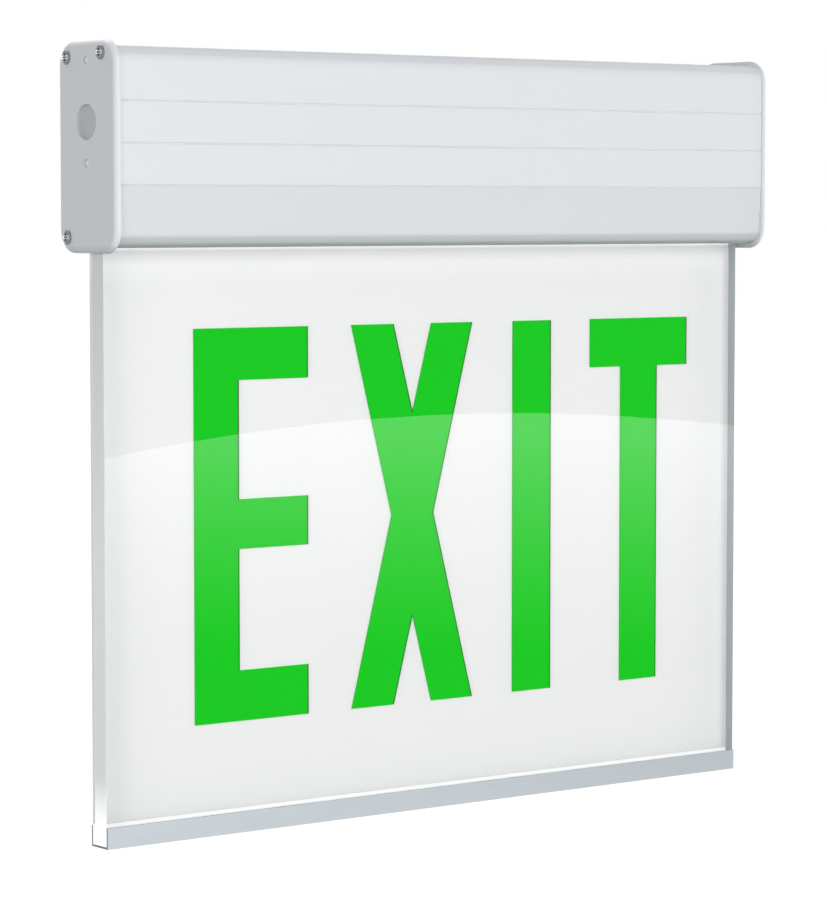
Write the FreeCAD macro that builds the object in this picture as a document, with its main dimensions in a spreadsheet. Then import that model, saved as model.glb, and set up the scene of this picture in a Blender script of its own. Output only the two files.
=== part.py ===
"""Edge-lit emergency exit light: an extruded housing with two cast end caps, a clear sign panel
hanging out of a slot in its underside, and the lamp, charger and battery that it holds inside.

Frame: X along the housing, +Y into the wall, +Z up. The origin is the middle of the back face
of the housing, which is the face that lies on the wall. Sizes are in millimetres.
"""
import FreeCAD, Part
import math
import os
import re
import Sketcher

DRIVING_SIZES = [
    # The extruded housing
    ("housing_length", 322.0),
    ("housing_depth", 38.4),
    ("housing_height", 74.8),
    ("housing_wall", 1.8),
    ("housing_corner", 6.0),
    ("face_lean", 1.2),            # how far the foot of the front face stands back
    ("groove_first", 17.1),        # highest front groove above the housing's centre
    ("groove_pitch", 15.6),
    ("groove_width", 0.9),
    ("groove_depth", 0.45),
    # The end caps and the screws that hold them
    ("cap_thickness", 2.5),
    ("cap_lip", 1.0),              # how far a cap stands proud of the front face
    ("cap_lip_end", 2.05),         # how far a cap stands proud above and below
    ("cap_corner", 8.7),
    ("cap_edge", 2.0),
    ("port_back_gap", 0.7),        # rear screw ports clear of the lamp carrier's foot
    ("port_front", 10.0),          # front screw port before the panel's plane
    ("port_back_drop", 3.7),       # the ports' axes below the housing's top
    ("port_front_drop", 2.5),
    ("port_foot_rise", 3.9),       # and above its underside
    ("port_block", 5.4),
    ("port_slit", 1.0),
    ("port_grip", 0.1),            # how much wider a port is than its screw
    ("cap_screw_shank", 2.4),
    ("cap_screw_play", 0.6),
    ("cap_screw_length", 12.0),
    ("cap_screw_head", 5.4),
    ("cap_screw_head_height", 1.7),
    # Stem mounting holes in the end caps, and the plug that blanks the large one
    ("stem_hole", 13.5),
    ("stem_drop", 28.1),           # axis of the stem below the housing's top
    ("stem_screw_hole", 3.3),
    ("stem_screw_above", 23.0),
    ("stem_screw_below", 15.2),
    ("plug_rim", 1.75),
    ("plug_flange_thickness", 1.0),
    ("plug_seat_rim", 0.3),        # the plug's seat is this much larger all round than the hole
    ("plug_seat_depth", 0.4),
    ("plug_clearance", 0.05),
    # Holes in the back wall
    ("wall_hole_height", 14.0),
    ("wire_entry", 22.2),
    ("box_hole", 5.0),
    ("box_spacing", 88.9),
    ("anchor_spacing", 260.0),
    # The sign panel
    ("panel_end_gap", 1.5),        # between the panel and each end cap
    ("panel_thickness", 8.0),
    ("backing_thickness", 1.5),
    ("panel_drop", 225.4),         # how far the panel hangs below the housing
    ("slot_clearance", 0.35),
    ("trim_height", 8.2),
    ("trim_wall", 0.8),
    ("trim_clearance", 0.05),
    # The lamp carrier that grips the panel's top edge
    ("carrier_end_gap", 11.0),
    ("carrier_drop", 10.0),        # top of the carrier below the housing's centre
    ("carrier_wall", 1.5),
    ("carrier_clearance", 0.1),
    ("foot_width", 3.85),
    ("foot_thickness", 1.4),
    ("hook_thickness", 1.0),
    ("hook_wall", 1.2),
    ("hook_overlap", 1.3),
    ("hook_side_gap", 0.3),
    ("hook_gap", 0.15),
    ("led_board_width", 8.0),
    ("led_board_thickness", 1.0),
    ("led_board_overhang", 2.0),
    ("led_pitch", 12.0),
    ("led_edge", 9.0),             # end lamps in from the carrier's ends
    ("led_width", 3.5),
    ("led_height", 0.9),
    ("led_gap", 0.4),
    ("panel_screw_spacing", 120.0),
    ("panel_screw_drop", 24.0),
    ("panel_screw_shank", 3.0),
    ("panel_screw_play", 0.4),
    ("panel_screw_head", 5.5),
    ("panel_screw_head_height", 1.8),
    ("nut_across", 5.5),
    ("nut_height", 2.4),
    ("thread_end", 0.8),           # thread that shows past a nut
    # The gear tray, which slides along rails in the housing
    ("tray_clearance", 1.2),       # between the carrier and the ties under the tray
    ("tray_thickness", 1.2),
    ("tray_left_gap", 13.0),
    ("tray_right_gap", 5.0),
    ("tray_side_gap", 0.3),
    ("rail_depth", 1.6),
    ("rail_thickness", 1.2),
    ("rail_gap", 0.1),
    # Charger board
    ("board_length", 100.0),
    ("board_width", 28.0),
    ("board_thickness", 1.6),
    ("board_inset", 12.0),         # board in from the tray's left end
    ("board_edge", 4.0),           # fixing holes in from the board's edges
    ("standoff_height", 5.0),
    ("standoff_size", 5.5),
    ("standoff_grip", 0.1),
    ("board_screw_shank", 2.5),
    ("board_screw_length", 5.6),
    ("board_screw_play", 0.5),
    ("board_screw_head", 5.0),
    ("board_screw_head_height", 1.6),
    ("core_length", 30.0),
    ("core_stack", 15.0),
    ("core_height", 25.0),
    ("core_leg", 5.0),
    ("coil_gap", 0.2),
    ("coil_overhang", 4.5),
    ("capacitor_size", 10.0),
    ("capacitor_height", 16.0),
    ("capacitor_pitch", 12.0),
    ("relay_length", 15.4),
    ("relay_width", 10.4),
    ("relay_height", 12.0),
    ("terminal_width", 9.0),
    ("terminal_height", 10.5),
    ("terminal_pitch", 5.0),
    ("terminal_bore", 2.8),
    ("terminal_entry_rise", 3.7),
    ("terminal_well_depth", 3.2),
    ("socket_length", 6.0),
    ("socket_width", 8.0),
    ("socket_height", 6.0),
    # Battery
    ("cell_size", 10.5),
    ("cell_length", 89.5),
    ("battery_gap", 36.5),         # battery in from the tray's right end
    ("cradle_wall", 1.2),
    ("cradle_height", 7.0),
    ("cradle_gap", 0.2),
    ("cradle_notch", 5.2),         # the lead's way out of the cradle
    ("tie_width", 4.8),
    ("tie_thickness", 0.8),
    ("tie_inset", 20.0),
    ("tie_slot_gap", 0.3),
    # Test switch and charge lamp in the right end cap
    ("switch_gap", 0.15),          # switch behind the lamp carrier
    ("switch_rise", 15.4),         # switch above the housing's underside
    ("switch_size", 9.0),
    ("switch_length", 11.0),
    ("bushing_size", 6.0),
    ("bushing_reach", 2.4),
    ("bushing_play", 0.2),
    ("switch_wall", 1.0),
    ("switch_nut_across", 8.0),
    ("switch_nut_height", 1.5),
    ("button_size", 3.4),
    ("button_reach", 2.6),
    ("button_collar", 5.4),
    ("button_collar_thickness", 1.0),
    ("button_gap", 0.3),
    ("button_dome", 0.8),
    ("lamp_above", 9.2),           # charge lamp above the switch
    ("lamp_size", 3.0),
    ("lamp_length", 6.0),
    ("lamp_reach", 1.2),
    ("lamp_play", 0.1),
    ("lamp_rim", 4.4),
    ("lamp_rim_thickness", 0.8),
    # Leads
    ("lead_size", 1.8),
    ("lead_run", 12.0),
    ("lead_bend", 4.0),
]
SCREW_DOME = 0.7                   # share of a screw head's height that is rounded

doc = FreeCAD.newDocument("ExitLight")
sizes = doc.addObject("Spreadsheet::Sheet", "Sizes")
for row, (name, number) in enumerate(DRIVING_SIZES, start=1):
    sizes.set(f"A{row}", str(number))
    sizes.setAlias(f"A{row}", name)
doc.recompute()

# Places that several pieces share, as sums of the driving sizes
HALF_LENGTH = "(housing_length / 2)"
HALF_HEIGHT = "(housing_height / 2)"
CAP_DEPTH = "(housing_depth + cap_lip)"
CAP_HALF_HEIGHT = "(housing_height / 2 + cap_lip_end)"
CAP_FACE = "(housing_length / 2 + cap_thickness)"
PLANE = "(-(housing_depth + cap_lip) / 2)"                 # middle plane of panel and backing
INNER_FRONT = "(-housing_depth + housing_wall)"
INNER_TOP = "(housing_height / 2 - housing_wall)"
FLOOR = "(-housing_height / 2 + housing_wall)"
SIGN_HALF = "((panel_thickness + backing_thickness) / 2)"
PANEL_FOOT = "(-housing_height / 2 - panel_drop)"
CARRIER_TOP = "(-carrier_drop)"
LED_BOARD_TOP = "(-carrier_drop - carrier_wall)"
LED_TOP = "(-carrier_drop - carrier_wall - led_board_thickness)"
PANEL_TOP = "(-carrier_drop - carrier_wall - led_board_thickness - led_height - led_gap)"
CARRIER_HALF = "((panel_thickness + backing_thickness) / 2 + carrier_clearance)"
CARRIER_OUTER = "((panel_thickness + backing_thickness) / 2 + carrier_clearance + carrier_wall)"
CARRIER_END = "(housing_length / 2 - carrier_end_gap)"
PANEL_SIDE = "(housing_length / 2 - panel_end_gap)"
FOOT_REACH = f"({CARRIER_OUTER} + foot_width)"
TRAY_BASE = "(-carrier_drop + tray_clearance + tie_thickness)"
TRAY_TOP = f"({TRAY_BASE} + tray_thickness)"
TRAY_LEFT = "(-housing_length / 2 + tray_left_gap)"
TRAY_RIGHT = "(housing_length / 2 - tray_right_gap)"
BOARD_LEFT = f"({TRAY_LEFT} + board_inset)"
BOARD_BASE = f"({TRAY_TOP} + standoff_height)"
BOARD_TOP = f"({BOARD_BASE} + board_thickness)"
PART_GAP = ("((board_length - 2 * socket_length - core_length - capacitor_size - relay_length"
            " - 3 * terminal_pitch) / 5)")                 # even gaps between the parts on the board
CRADLE_WIDTH = "(2 * cell_size + 2 * cradle_gap + 2 * cradle_wall)"
PACK_BASE = f"({TRAY_TOP} + cradle_wall)"
BATTERY_LEFT = f"({TRAY_RIGHT} - battery_gap - cell_length)"
SWITCH_Y = f"({PLANE} + {CARRIER_OUTER} + switch_gap + switch_size / 2)"
SWITCH_Z = "(-housing_height / 2 + switch_rise)"
LAMP_Z = f"({SWITCH_Z} + lamp_above)"
STEM_Z = "(housing_height / 2 - stem_drop)"
PORT_BACK = f"({PLANE} + {FOOT_REACH} + port_back_gap + port_block / 2)"
PORT_FRONT = f"({PLANE} - port_front)"
PORTS = [
    (PORT_BACK, "(housing_height / 2 - port_back_drop)"),
    (PORT_FRONT, "(housing_height / 2 - port_front_drop)"),
    (PORT_BACK, "(-housing_height / 2 + port_foot_rise)"),
]
SCREW_PLACES = ("-panel_screw_spacing", "0", "panel_screw_spacing")
ALIASES = re.compile(r"\b(" + "|".join(name for name, number in DRIVING_SIZES) + r")\b")


def sized(rule):
    """The rule as an object's expression, with each size read from the sheet."""
    return ALIASES.sub(r"Sizes.\1", rule)


def value(rule):
    """What the rule comes to now."""
    return float(sizes.evalExpression(rule))


def bind(thing, **rules):
    for name, rule in rules.items():
        thing.setExpression(name, sized(rule))


def put(thing, x, y, z, turn=None):
    """Places a thing by three rules, turned first by (axis, degrees)."""
    if turn:
        thing.Placement = FreeCAD.Placement(FreeCAD.Vector(), FreeCAD.Rotation(FreeCAD.Vector(*turn[0]), turn[1]))
    for axis, rule in (("x", x), ("y", y), ("z", z)):
        thing.setExpression(f"Placement.Base.{axis}", sized(rule))


# Sketches and features of a PartDesign body

def new_body(label):
    body = doc.addObject("PartDesign::Body", label)
    body.Label = label
    return body


def sketch_on(body, name, role, offset=None):
    """A sketch on one of the body's own origin planes, moved along that plane's normal."""
    sketch = body.newObject("Sketcher::SketchObject", name)
    plane = next(item for item in body.Origin.OriginFeatures if item.Role == role)
    sketch.AttachmentSupport = [(plane, "")]
    sketch.MapMode = "FlatFace"
    if offset:
        sketch.setExpression("AttachmentOffset.Base.z", sized(offset))
    return sketch


def hold(sketch, shape, point, x, y):
    """Fixes one point of a sketch shape at two rules from the sketch's origin."""
    for kind, rule in (("DistanceX", x), ("DistanceY", y)):
        index = sketch.addConstraint(Sketcher.Constraint(kind, -1, 1, shape, point, value(rule)))
        sketch.setExpression(f"Constraints[{index}]", sized(rule))


def outline(sketch, corners):
    """A closed run of straight lines through the corners."""
    points = [FreeCAD.Vector(value(x), value(y), 0) for x, y in corners]
    lines = [sketch.addGeometry(Part.LineSegment(start, end))
             for start, end in zip(points, points[1:] + points[:1])]
    for line, following in zip(lines, lines[1:] + lines[:1]):
        sketch.addConstraint(Sketcher.Constraint("Coincident", line, 2, following, 1))
    for line, (x, y) in zip(lines, corners):
        hold(sketch, line, 1, x, y)


def rectangle(sketch, left, bottom, right, top):
    outline(sketch, [(left, bottom), (right, bottom), (right, top), (left, top)])


def ring(sketch, x, y, diameter):
    """A full circle."""
    centre = FreeCAD.Vector(value(x), value(y), 0)
    circle = sketch.addGeometry(Part.Circle(centre, FreeCAD.Vector(0, 0, 1), value(diameter) / 2))
    hold(sketch, circle, 3, x, y)
    index = sketch.addConstraint(Sketcher.Constraint("Diameter", circle, value(diameter)))
    sketch.setExpression(f"Constraints[{index}]", sized(diameter))


def pad(body, sketch, length, flip=False):
    feature = body.newObject("PartDesign::Pad", f"{sketch.Name}_pad")
    feature.Profile = sketch
    feature.Reversed = flip
    bind(feature, Length=length)
    doc.recompute()


def cut(body, sketch, length=None, flip=False):
    """Cuts the sketch's shapes: right through both ways, or to a length."""
    feature = body.newObject("PartDesign::Pocket", f"{sketch.Name}_cut")
    feature.Profile = sketch
    feature.Reversed = flip
    if length:
        bind(feature, Length=length)
    else:
        feature.Type = "ThroughAll"
        feature.SideType = "Symmetric"
    doc.recompute()


def turn(body, sketch):
    """Revolves the sketch about its own vertical axis."""
    feature = body.newObject("PartDesign::Revolution", f"{sketch.Name}_turn")
    feature.Profile = sketch
    feature.ReferenceAxis = (sketch, ["V_Axis"])
    feature.Angle = 360
    doc.recompute()


def round_edges(body, name, radius, chosen):
    """Fillets the edges for which chosen(edge) is true."""
    base = body.Tip
    edges = [f"Edge{index}" for index, edge in enumerate(base.Shape.Edges, start=1) if chosen(edge)]
    feature = body.newObject("PartDesign::Fillet", name)
    feature.Base = (base, edges)
    bind(feature, Radius=radius)
    doc.recompute()


def along_x_at(*places):
    """Chooses straight edges that run along X through one of the (y, z) places."""
    spots = [(value(y), value(z)) for y, z in places]

    def chosen(edge):
        start, end = edge.Vertexes[0].Point, edge.Vertexes[-1].Point
        level = abs(start.y - end.y) < 1e-6 and abs(start.z - end.z) < 1e-6
        return level and any(abs(start.y - y) + abs(start.z - z) < 1e-5 for y, z in spots)
    return chosen


# Plain solids

def box(name, x, y, z, length, width, height):
    """A box from its lowest corner."""
    solid = doc.addObject("Part::Box", name)
    bind(solid, Length=length, Width=width, Height=height)
    put(solid, x, y, z)
    return solid


def cylinder(name, x, y, z, diameter, height, axis="z"):
    """A cylinder from the centre of its base, along +X, +Y or +Z."""
    solid = doc.addObject("Part::Cylinder", name)
    bind(solid, Radius=f"({diameter}) / 2", Height=height)
    put(solid, x, y, z, {"x": ((0, 1, 0), 90), "y": ((1, 0, 0), -90), "z": None}[axis])
    return solid


def prism(name, x, y, z, across_flats, height, axis="z"):
    """A hexagonal bar from the centre of its base, along +X, +Y or +Z."""
    solid = doc.addObject("Part::Prism", name)
    solid.Polygon = 6
    bind(solid, Circumradius=f"({across_flats}) / sqrt(3)", Height=height)
    put(solid, x, y, z, {"x": ((0, 1, 0), 90), "y": ((1, 0, 0), -90), "z": None}[axis])
    return solid


def minus(name, base, *tools):
    solid = doc.addObject("Part::Cut", name)
    solid.Base = base
    solid.Tool = tools[0] if len(tools) == 1 else group(f"{name}_tools", tools)
    return solid


def plus(name, *solids):
    joined = doc.addObject("Part::MultiFuse", name)
    joined.Shapes = list(solids)
    return joined


def group(name, solids):
    """Separate solids kept as one set."""
    together = doc.addObject("Part::Compound", name)
    together.Links = list(solids)
    return together


def screw(name, x, y, z, shank, length, head, head_height, facing):
    """A pan-head screw whose head sits on the given point and faces away along the axis given."""
    body = new_body(name)
    profile = sketch_on(body, f"{name}_profile", "XZ_Plane")
    outline(profile, [("0", f"-({length})"), (f"{shank} / 2", f"-({length})"), (f"{shank} / 2", "0"),
                      (f"{head} / 2", "0"), (f"{head} / 2", head_height), ("0", head_height)])
    turn(body, profile)
    top = value(head_height)
    round_edges(body, f"{name}_dome", f"{SCREW_DOME} * ({head_height})",
                lambda edge: all(abs(vertex.Z - top) < 1e-6 for vertex in edge.Vertexes))
    turns = {"-x": ((0, 1, 0), -90), "+x": ((0, 1, 0), 90), "-y": ((1, 0, 0), 90), "+z": None}
    put(body, x, y, z, turns[facing])
    return body


def tube(label, points, diameter, bend_reach):
    """A round lead: straight runs joined by arcs that leave each corner's runs at bend_reach."""
    stops = [FreeCAD.Vector(*(value(rule) for rule in point)) for point in points]
    edges = []
    here = stops[0]
    for before, corner, after in zip(stops, stops[1:], stops[2:]):
        back = (before - corner).normalize()
        ahead = (after - corner).normalize()
        reach = min(value(bend_reach), 0.45 * min((before - corner).Length, (after - corner).Length))
        start, end = corner + back * reach, corner + ahead * reach
        half_angle = back.getAngle(ahead) / 2
        toward_centre = (back + ahead).normalize()
        middle = corner + toward_centre * (reach * (1 / math.cos(half_angle) - math.tan(half_angle)))
        edges.append(Part.LineSegment(here, start).toShape())
        edges.append(Part.Arc(start, middle, end).toShape())
        here = end
    edges.append(Part.LineSegment(here, stops[-1]).toShape())
    section = Part.Wire(Part.Circle(stops[0], stops[1] - stops[0], value(diameter) / 2).toShape())
    lead = doc.addObject("Part::Feature", label)
    lead.Shape = Part.Wire(edges).makePipeShell([section], True, True)
    return lead


# The housing and its end caps

def housing_extrusion():
    """One aluminium section: three screw ports, rails for the tray, hooks for the lamp carrier's
    feet and a slot that the panel hangs through."""
    body = new_body("housing_extrusion")
    start = f"-{HALF_LENGTH}"

    skin = sketch_on(body, "skin", "YZ_Plane", start)
    foot = "-housing_depth + face_lean"
    outline(skin, [("0", f"-{HALF_HEIGHT}"), ("0", HALF_HEIGHT), ("-housing_depth", HALF_HEIGHT),
                   ("-housing_depth", "groove_first - 2 * groove_pitch"), (foot, f"-{HALF_HEIGHT}")])
    pad(body, skin, "housing_length")
    round_edges(body, "outer_corners", "housing_corner", along_x_at(
        ("0", f"-{HALF_HEIGHT}"), ("0", HALF_HEIGHT), ("-housing_depth", HALF_HEIGHT), (foot, f"-{HALF_HEIGHT}")))

    # The cavity steps round the three port blocks, which fill their corners
    cavity = sketch_on(body, "cavity", "YZ_Plane", start)
    (rear, top_rear), (front, top_front), (_, bottom_rear) = PORTS
    rear_block = f"{rear} - port_block / 2"
    front_block = f"{front} + port_block / 2"
    outline(cavity, [
        (f"{INNER_FRONT} + face_lean", FLOOR), (rear_block, FLOOR),
        (rear_block, f"{bottom_rear} + port_block / 2"), ("-housing_wall", f"{bottom_rear} + port_block / 2"),
        ("-housing_wall", f"{top_rear} - port_block / 2"), (rear_block, f"{top_rear} - port_block / 2"),
        (rear_block, INNER_TOP), (front_block, INNER_TOP),
        (front_block, f"{top_front} - port_block / 2"),
        (f"{front_block} - port_block", f"{top_front} - port_block / 2"),
        (f"{INNER_FRONT} + housing_corner / 2", INNER_TOP),
        (INNER_FRONT, f"{INNER_TOP} - housing_corner / 2"),
        (INNER_FRONT, "groove_first - 2 * groove_pitch")])
    cut(body, cavity)

    rails = sketch_on(body, "rails", "YZ_Plane", start)
    lower = f"{TRAY_BASE} - rail_gap - rail_thickness"
    upper = f"{TRAY_TOP} + rail_gap"
    buried = "housing_wall / 2"
    for level in (lower, upper):
        rectangle(rails, f"{INNER_FRONT} - {buried}", level,
                  f"{INNER_FRONT} + rail_depth", f"{level} + rail_thickness")
        rectangle(rails, "-housing_wall - rail_depth", level, f"-housing_wall + {buried}",
                  f"{level} + rail_thickness")
    pad(body, rails, "housing_length")

    # Two hooks over the carrier's feet; the rear one grows out of the lower port block
    hooks = sketch_on(body, "hooks", "YZ_Plane", start)
    under = f"{FLOOR} + foot_thickness + 2 * hook_gap"
    over = f"{under} + hook_thickness"
    edge = f"({FOOT_REACH} + hook_side_gap)"
    tip = f"({FOOT_REACH} - hook_overlap)"
    outline(hooks, [
        (f"{PLANE} - {edge} - hook_wall", f"{FLOOR} - {buried}"), (f"{PLANE} - {edge}", f"{FLOOR} - {buried}"),
        (f"{PLANE} - {edge}", under), (f"{PLANE} - {tip}", under),
        (f"{PLANE} - {tip}", over), (f"{PLANE} - {edge} - hook_wall", over)])
    rectangle(hooks, f"{PLANE} + {tip}", under, f"{PLANE} + {edge} + hook_wall", over)
    pad(body, hooks, "housing_length")

    ports = sketch_on(body, "ports", "YZ_Plane")
    for y, z in PORTS:
        ring(ports, y, z, "cap_screw_shank + port_grip")
    cut(body, ports)

    # Each port is open to the cavity along a slit, as a screw port is when it is extruded
    slits = sketch_on(body, "slits", "YZ_Plane")
    for y, z in (PORTS[0], PORTS[2]):
        rectangle(slits, f"{y} - port_block", f"{z} - port_slit / 2", y, f"{z} + port_slit / 2")
    y, z = PORTS[1]
    rectangle(slits, y, f"{z} - port_slit / 2", f"{y} + port_block", f"{z} + port_slit / 2")
    cut(body, slits)

    slot = sketch_on(body, "slot", "YZ_Plane")
    reach = f"({SIGN_HALF} + slot_clearance)"
    rectangle(slot, f"{PLANE} - {reach}", f"-{HALF_HEIGHT} - housing_wall",
              f"{PLANE} + {reach}", f"{FLOOR} + housing_wall")
    cut(body, slot)

    grooves = sketch_on(body, "grooves", "YZ_Plane")
    for number in range(3):
        level = f"groove_first - {number} * groove_pitch"
        outline(grooves, [("-housing_depth - groove_depth", f"{level} - groove_width"),
                          ("-housing_depth + groove_depth", level),
                          ("-housing_depth - groove_depth", f"{level} + groove_width")])
    cut(body, grooves)

    back = sketch_on(body, "back_wall_holes", "XZ_Plane")
    ring(back, "0", "wall_hole_height", "wire_entry")
    for side in ("-", ""):
        ring(back, f"{side}box_spacing / 2", "wall_hole_height", "box_hole")
        ring(back, f"{side}anchor_spacing / 2", "wall_hole_height", "box_hole")
    cut(body, back, "2 * housing_wall", flip=True)


def end_cap(name, side):
    """A cast cap with a rounded rim; side is -1 on the left and 1 on the right."""
    body = new_body(name)
    face = sketch_on(body, f"{name}_face", "YZ_Plane", f"{side} * {HALF_LENGTH}")
    rectangle(face, f"-{CAP_DEPTH}", f"-{CAP_HALF_HEIGHT}", "0", CAP_HALF_HEIGHT)
    pad(body, face, "cap_thickness", flip=side < 0)
    round_edges(body, f"{name}_corners", "cap_corner", along_x_at(
        ("0", CAP_HALF_HEIGHT), ("0", f"-{CAP_HALF_HEIGHT}"),
        (f"-{CAP_DEPTH}", CAP_HALF_HEIGHT), (f"-{CAP_DEPTH}", f"-{CAP_HALF_HEIGHT}")))
    outside = side * value(CAP_FACE)
    round_edges(body, f"{name}_rim", "cap_edge",
                lambda edge: all(abs(vertex.X - outside) < 1e-6 for vertex in edge.Vertexes))
    holes = sketch_on(body, f"{name}_holes", "YZ_Plane")
    for y, z in PORTS:
        ring(holes, y, z, "cap_screw_shank + cap_screw_play")
    ring(holes, PLANE, STEM_Z, "stem_hole")
    ring(holes, PLANE, f"{STEM_Z} + stem_screw_above", "stem_screw_hole")
    ring(holes, PLANE, f"{STEM_Z} - stem_screw_below", "stem_screw_hole")
    if side > 0:
        ring(holes, SWITCH_Y, SWITCH_Z, "bushing_size + bushing_play")
        ring(holes, SWITCH_Y, LAMP_Z, "lamp_size + lamp_play")
    cut(body, holes)
    seat = sketch_on(body, f"{name}_plug_seat", "YZ_Plane", f"{side} * {HALF_LENGTH}")
    ring(seat, PLANE, STEM_Z, "stem_hole + 2 * plug_seat_rim")
    cut(body, seat, "plug_seat_depth", flip=side > 0)


def cap_screws(name, side):
    facing = "+x" if side > 0 else "-x"
    group(name, [screw(f"{name}_{number}", f"{side} * {CAP_FACE}", y, z, "cap_screw_shank", "cap_screw_length",
                       "cap_screw_head", "cap_screw_head_height", facing)
                 for number, (y, z) in enumerate(PORTS, start=1)])


def stem_plug(name, side):
    """A plug that blanks a stem hole from inside, in a seat sunk into the cap."""
    inner = f"{side} * {HALF_LENGTH}"
    start = inner if side < 0 else f"{inner} - plug_flange_thickness"
    flange = cylinder(f"{name}_flange", start, PLANE, STEM_Z, "stem_hole + 2 * plug_rim",
                      "plug_flange_thickness", "x")
    start = f"{inner} - plug_seat_depth" if side < 0 else inner
    spigot = cylinder(f"{name}_spigot", start, PLANE, STEM_Z,
                      "stem_hole + 2 * plug_seat_rim - 2 * plug_clearance", "plug_seat_depth", "x")
    plus(name, flange, spigot)


# The sign panel

def light_panel():
    """The clear sheet that the lamps light from its top edge."""
    body = new_body("light_panel")
    sheet = sketch_on(body, "sheet", "XZ_Plane", f"-({PLANE} - {SIGN_HALF})")
    rectangle(sheet, f"-{PANEL_SIDE}", PANEL_FOOT, PANEL_SIDE, PANEL_TOP)
    pad(body, sheet, "panel_thickness", flip=True)
    holes = sketch_on(body, "panel_holes", "XZ_Plane")
    for place in SCREW_PLACES:
        ring(holes, place, "-panel_screw_drop", "panel_screw_shank + panel_screw_play")
    cut(body, holes)


def backing_sheet():
    """The white sheet behind the panel."""
    body = new_body("backing_sheet")
    sheet = sketch_on(body, "backing", "XZ_Plane", f"-({PLANE} - {SIGN_HALF} + panel_thickness)")
    rectangle(sheet, f"-{PANEL_SIDE}", PANEL_FOOT, PANEL_SIDE, PANEL_TOP)
    pad(body, sheet, "backing_thickness", flip=True)
    holes = sketch_on(body, "backing_holes", "XZ_Plane")
    for place in SCREW_PLACES:
        ring(holes, place, "-panel_screw_drop", "panel_screw_shank + panel_screw_play")
    cut(body, holes)


def edge_trim():
    """A channel along the panel's foot, open at both ends."""
    body = new_body("edge_trim")
    channel = sketch_on(body, "channel", "YZ_Plane", f"-{PANEL_SIDE}")
    inner = f"({SIGN_HALF} + trim_clearance)"
    outer = f"({inner} + trim_wall)"
    top = f"{PANEL_FOOT} - trim_wall + trim_height"
    outline(channel, [
        (f"{PLANE} - {outer}", f"{PANEL_FOOT} - trim_wall"), (f"{PLANE} + {outer}", f"{PANEL_FOOT} - trim_wall"),
        (f"{PLANE} + {outer}", top), (f"{PLANE} + {inner}", top), (f"{PLANE} + {inner}", PANEL_FOOT),
        (f"{PLANE} - {inner}", PANEL_FOOT), (f"{PLANE} - {inner}", top), (f"{PLANE} - {outer}", top)])
    pad(body, channel, f"2 * {PANEL_SIDE}")


# The lamps and the carrier that holds them and the panel

def led_carrier():
    """An inverted channel that grips the panel and stands on two feet held by the housing's hooks."""
    body = new_body("led_carrier")
    section = sketch_on(body, "carrier_section", "YZ_Plane", f"-{CARRIER_END}")
    base = f"{FLOOR} + hook_gap"
    foot_top = f"{base} + foot_thickness"
    half = [(CARRIER_HALF, LED_BOARD_TOP), (CARRIER_HALF, base), (FOOT_REACH, base),
            (FOOT_REACH, foot_top), (CARRIER_OUTER, foot_top), (CARRIER_OUTER, CARRIER_TOP)]
    outline(section, [(f"{PLANE} + {y}", z) for y, z in half] + [(f"{PLANE} - {y}", z) for y, z in reversed(half)])
    pad(body, section, f"2 * {CARRIER_END}")
    holes = sketch_on(body, "carrier_holes", "XZ_Plane")
    for place in SCREW_PLACES:
        ring(holes, place, "-panel_screw_drop", "panel_screw_shank + panel_screw_play")
    cut(body, holes)


def led_board():
    half = f"({CARRIER_END} + led_board_overhang)"
    box("led_board", f"-{half}", f"{PLANE} - led_board_width / 2", LED_TOP,
        f"2 * {half}", "led_board_width", "led_board_thickness")


def leds():
    count = int(value(f"2 * ({CARRIER_END} - led_edge) / led_pitch")) + 1
    first = f"-({count} - 1) / 2 * led_pitch - led_width / 2"
    group("leds", [box(f"led_{number}", f"{first} + {number} * led_pitch", f"{PLANE} - led_width / 2",
                       f"{LED_TOP} - led_height", "led_width", "led_width", "led_height")
                   for number in range(count)])


def panel_fixings():
    """Three screws across the carrier and panel, each with its nut behind."""
    length = f"2 * {CARRIER_OUTER} + nut_height + thread_end"
    group("panel_screws", [
        screw(f"panel_screw_{number}", place, f"{PLANE} - {CARRIER_OUTER}", "-panel_screw_drop", "panel_screw_shank",
              length, "panel_screw_head", "panel_screw_head_height", "-y")
        for number, place in enumerate(SCREW_PLACES, start=1)])
    nuts = []
    for number, place in enumerate(SCREW_PLACES, start=1):
        start = f"{PLANE} + {CARRIER_OUTER}"
        blank = prism(f"panel_nut_blank_{number}", place, start, "-panel_screw_drop", "nut_across", "nut_height", "y")
        thread = cylinder(f"panel_nut_thread_{number}", place, start, "-panel_screw_drop",
                          "panel_screw_shank", "nut_height", "y")
        nuts.append(minus(f"panel_nut_{number}", blank, thread))
    group("panel_nuts", nuts)


# The gear tray and what it carries

def gear_tray():
    """A flat tray in the housing's rails, slotted for the battery's ties."""
    start = f"{INNER_FRONT} + tray_side_gap"
    plate = box("tray_plate", TRAY_LEFT, start, TRAY_BASE, f"{TRAY_RIGHT} - {TRAY_LEFT}",
                f"-housing_wall - tray_side_gap - ({start})", "tray_thickness")
    side = f"({CRADLE_WIDTH} / 2 + cradle_gap)"
    slots = []
    for number, place in enumerate(tie_places(), start=1):
        for edge, y in (("front", f"{PLANE} - {side} - tie_thickness"), ("rear", f"{PLANE} + {side}")):
            slots.append(box(f"tie_slot_{edge}_{number}", f"{place} - tie_slot_gap", f"{y} - tie_slot_gap",
                             TRAY_BASE, "tie_width + 2 * tie_slot_gap", "tie_thickness + 2 * tie_slot_gap",
                             "tray_thickness"))
    minus("gear_tray", plate, *slots)


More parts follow.
